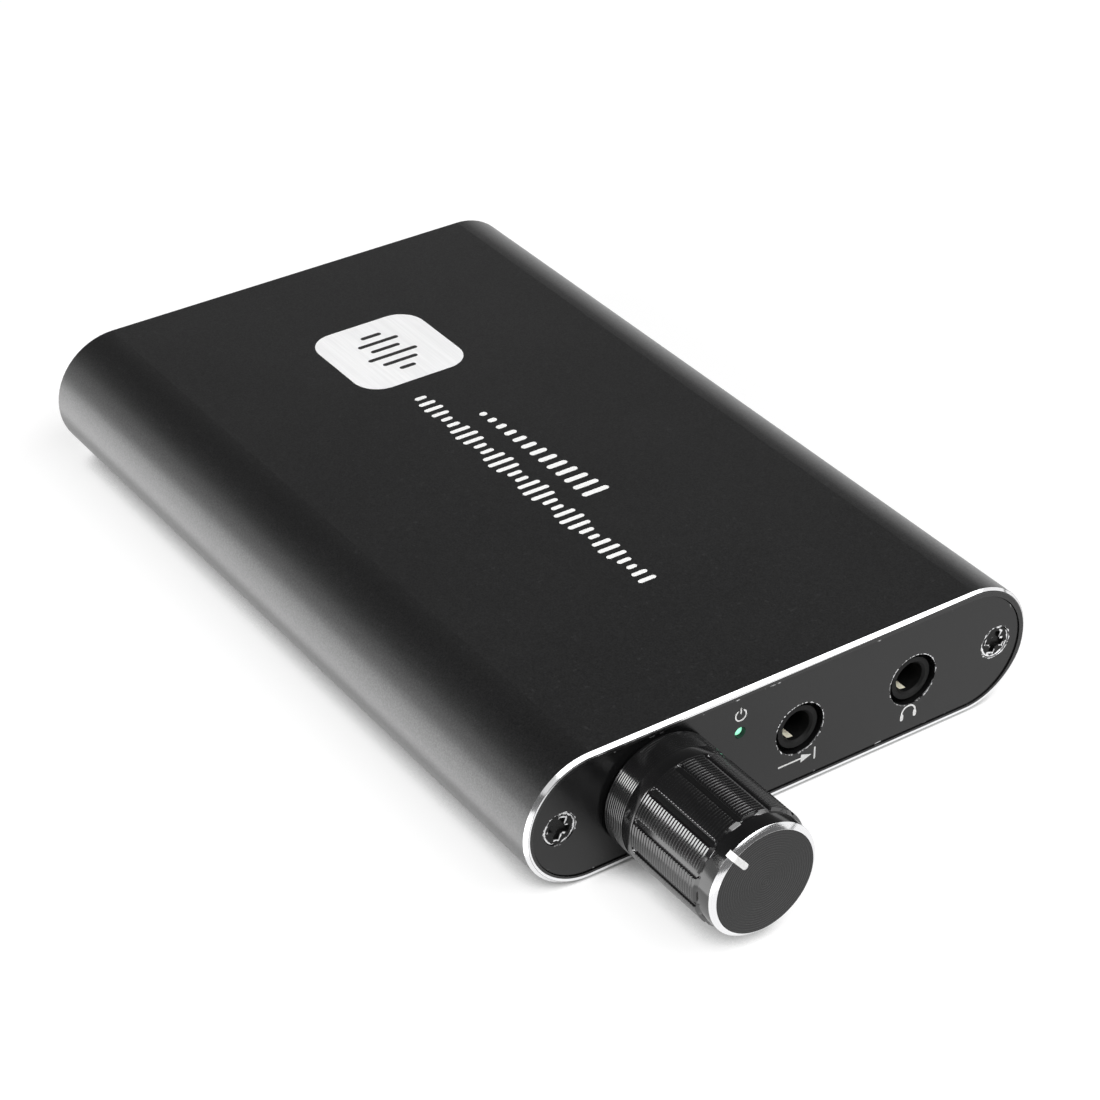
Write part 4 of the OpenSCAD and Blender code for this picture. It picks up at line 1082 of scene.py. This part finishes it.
def add_floor(colours):
    """Flat square of points on a grid just under the part."""
    side = np.linspace(-FLOOR_HALF, FLOOR_HALF, 9)
    u, v = np.meshgrid(side, side, indexing="ij")
    points = np.stack([u, v, np.full_like(u, -FLOOR_DROP)], -1).reshape(-1, 3)
    index = np.arange(u.size).reshape(u.shape)
    quads = np.stack([index[:-1, :-1], index[1:, :-1], index[1:, 1:], index[:-1, 1:]], -1).reshape(-1, 4)
    mesh = bpy.data.meshes.new("floor")
    mesh.from_pydata(points.tolist(), [], quads.tolist())
    mesh.materials.append(floor_finish(colours))
    floor = bpy.data.objects.new("floor", mesh)
    bpy.context.scene.collection.objects.link(floor)


def add_world():
    """Studio surroundings: pale at the horizon and dim overhead."""
    world = bpy.data.worlds.new("studio")
    bpy.context.scene.world = world
    w = Nodes(world)
    ramp = w.add("ShaderNodeValToRGB")
    stops = ramp.color_ramp.elements
    while len(stops) < len(WORLD_STOPS):
        stops.new(0.5)
    for stop, (height, level) in zip(stops, WORLD_STOPS):
        stop.position = height
        stop.color = (level, level, level, 1)
    w.feed(ramp.inputs[0], w.split(w.add("ShaderNodeTexCoord").outputs["Generated"])["Z"])
    background = w.add("ShaderNodeBackground")
    w.feed(background.inputs["Color"], ramp.outputs[0])
    w.feed(w.add("ShaderNodeOutputWorld").inputs["Surface"], background.outputs[0])


def add_camera():
    """Camera at the photograph's viewing angle."""
    data = bpy.data.cameras.new("camera")
    data.lens = CAMERA_LENS
    data.sensor_width = 36
    data.clip_start = 0.01
    camera = bpy.data.objects.new("camera", data)
    bpy.context.scene.collection.objects.link(camera)
    camera.location = CAMERA_PLACE
    camera.rotation_euler = aimed(direction(*CAMERA_TOWARDS))
    bpy.context.scene.camera = camera


def build_stage(colours):
    """Pale floor, soft lamps, world and camera, shown in plain colours."""
    bpy.context.scene.view_settings.view_transform = "Standard"
    add_floor(colours)
    add_world()
    for lamp in LAMPS:
        add_softbox(*lamp)
    add_camera()


# Operators and their panel


class AMP_OT_node_finishes(bpy.types.Operator):
    """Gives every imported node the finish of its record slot"""
    bl_idname = "amp.node_finishes"
    bl_label = "Finishes of the solids"
    bl_options = {"REGISTER", "UNDO"}

    def execute(self, context):
        finish_solids(context.scene.amp_sizes, context.scene.amp_colours)
        return {"FINISHED"}


class AMP_OT_end_faces(bpy.types.Operator):
    """Builds the flat faces of the tube's two sawn ends and the dark lining of its openings"""
    bl_idname = "amp.end_faces"
    bl_label = "End faces"
    bl_options = {"REGISTER", "UNDO"}

    def execute(self, context):
        build_end_faces(context.scene.amp_sizes, context.scene.amp_colours)
        return {"FINISHED"}


class AMP_OT_knob(bpy.types.Operator):
    """Builds the turned knob with ribbed grip pads, a grooved rear end and a bright front edge"""
    bl_idname = "amp.knob"
    bl_label = "Knob"
    bl_options = {"REGISTER", "UNDO"}

    def execute(self, context):
        build_knob(context.scene.amp_sizes, context.scene.amp_colours)
        return {"FINISHED"}


class AMP_OT_lights(bpy.types.Operator):
    """Builds the power light and the charge light with domed noses"""
    bl_idname = "amp.lights"
    bl_label = "Lights"
    bl_options = {"REGISTER", "UNDO"}

    def execute(self, context):
        build_lights(context.scene.amp_colours)
        return {"FINISHED"}


class AMP_OT_marks(bpy.types.Operator):
    """Builds the silver badge, the printed bar rows and the small signs by the sockets"""
    bl_idname = "amp.marks"
    bl_label = "Badge and printed marks"
    bl_options = {"REGISTER", "UNDO"}

    def execute(self, context):
        build_marks(context.scene.amp_sizes, context.scene.amp_colours)
        return {"FINISHED"}


class AMP_OT_stage(bpy.types.Operator):
    """Adds the pale floor, the soft lamps, the world and the camera"""
    bl_idname = "amp.stage"
    bl_label = "Stage"
    bl_options = {"REGISTER", "UNDO"}

    def execute(self, context):
        build_stage(context.scene.amp_colours)
        return {"FINISHED"}


class AMP_PT_panel(bpy.types.Panel):
    """Lists the pieces, sizes and colours of the amplifier"""
    bl_label = "Headphone amplifier"
    bl_idname = "AMP_PT_panel"
    bl_space_type = "VIEW_3D"
    bl_region_type = "UI"
    bl_category = "Amplifier"

    def draw(self, context):
        for operator in OPERATORS:
            self.layout.operator(operator.bl_idname)
        for group in (context.scene.amp_sizes, context.scene.amp_colours):
            box = self.layout.box()
            for key in group.bl_rna.properties.keys():
                if key not in ("rna_type", "name"):
                    box.prop(group, key)


OPERATORS = (AMP_OT_node_finishes, AMP_OT_end_faces, AMP_OT_knob, AMP_OT_lights, AMP_OT_marks, AMP_OT_stage)
CLASSES = (AmplifierSizes, AmplifierColours, *OPERATORS, AMP_PT_panel)


def register():
    for cls in CLASSES:
        bpy.utils.register_class(cls)
    bpy.types.Scene.amp_sizes = PointerProperty(type=AmplifierSizes)
    bpy.types.Scene.amp_colours = PointerProperty(type=AmplifierColours)


def unregister():
    del bpy.types.Scene.amp_colours
    del bpy.types.Scene.amp_sizes
    for cls in reversed(CLASSES):
        bpy.utils.unregister_class(cls)


def main():
    register()
    bpy.ops.amp.node_finishes()
    bpy.ops.amp.end_faces()
    bpy.ops.amp.knob()
    bpy.ops.amp.lights()
    bpy.ops.amp.marks()
    bpy.ops.amp.stage()


if __name__ == "__main__":
    main()
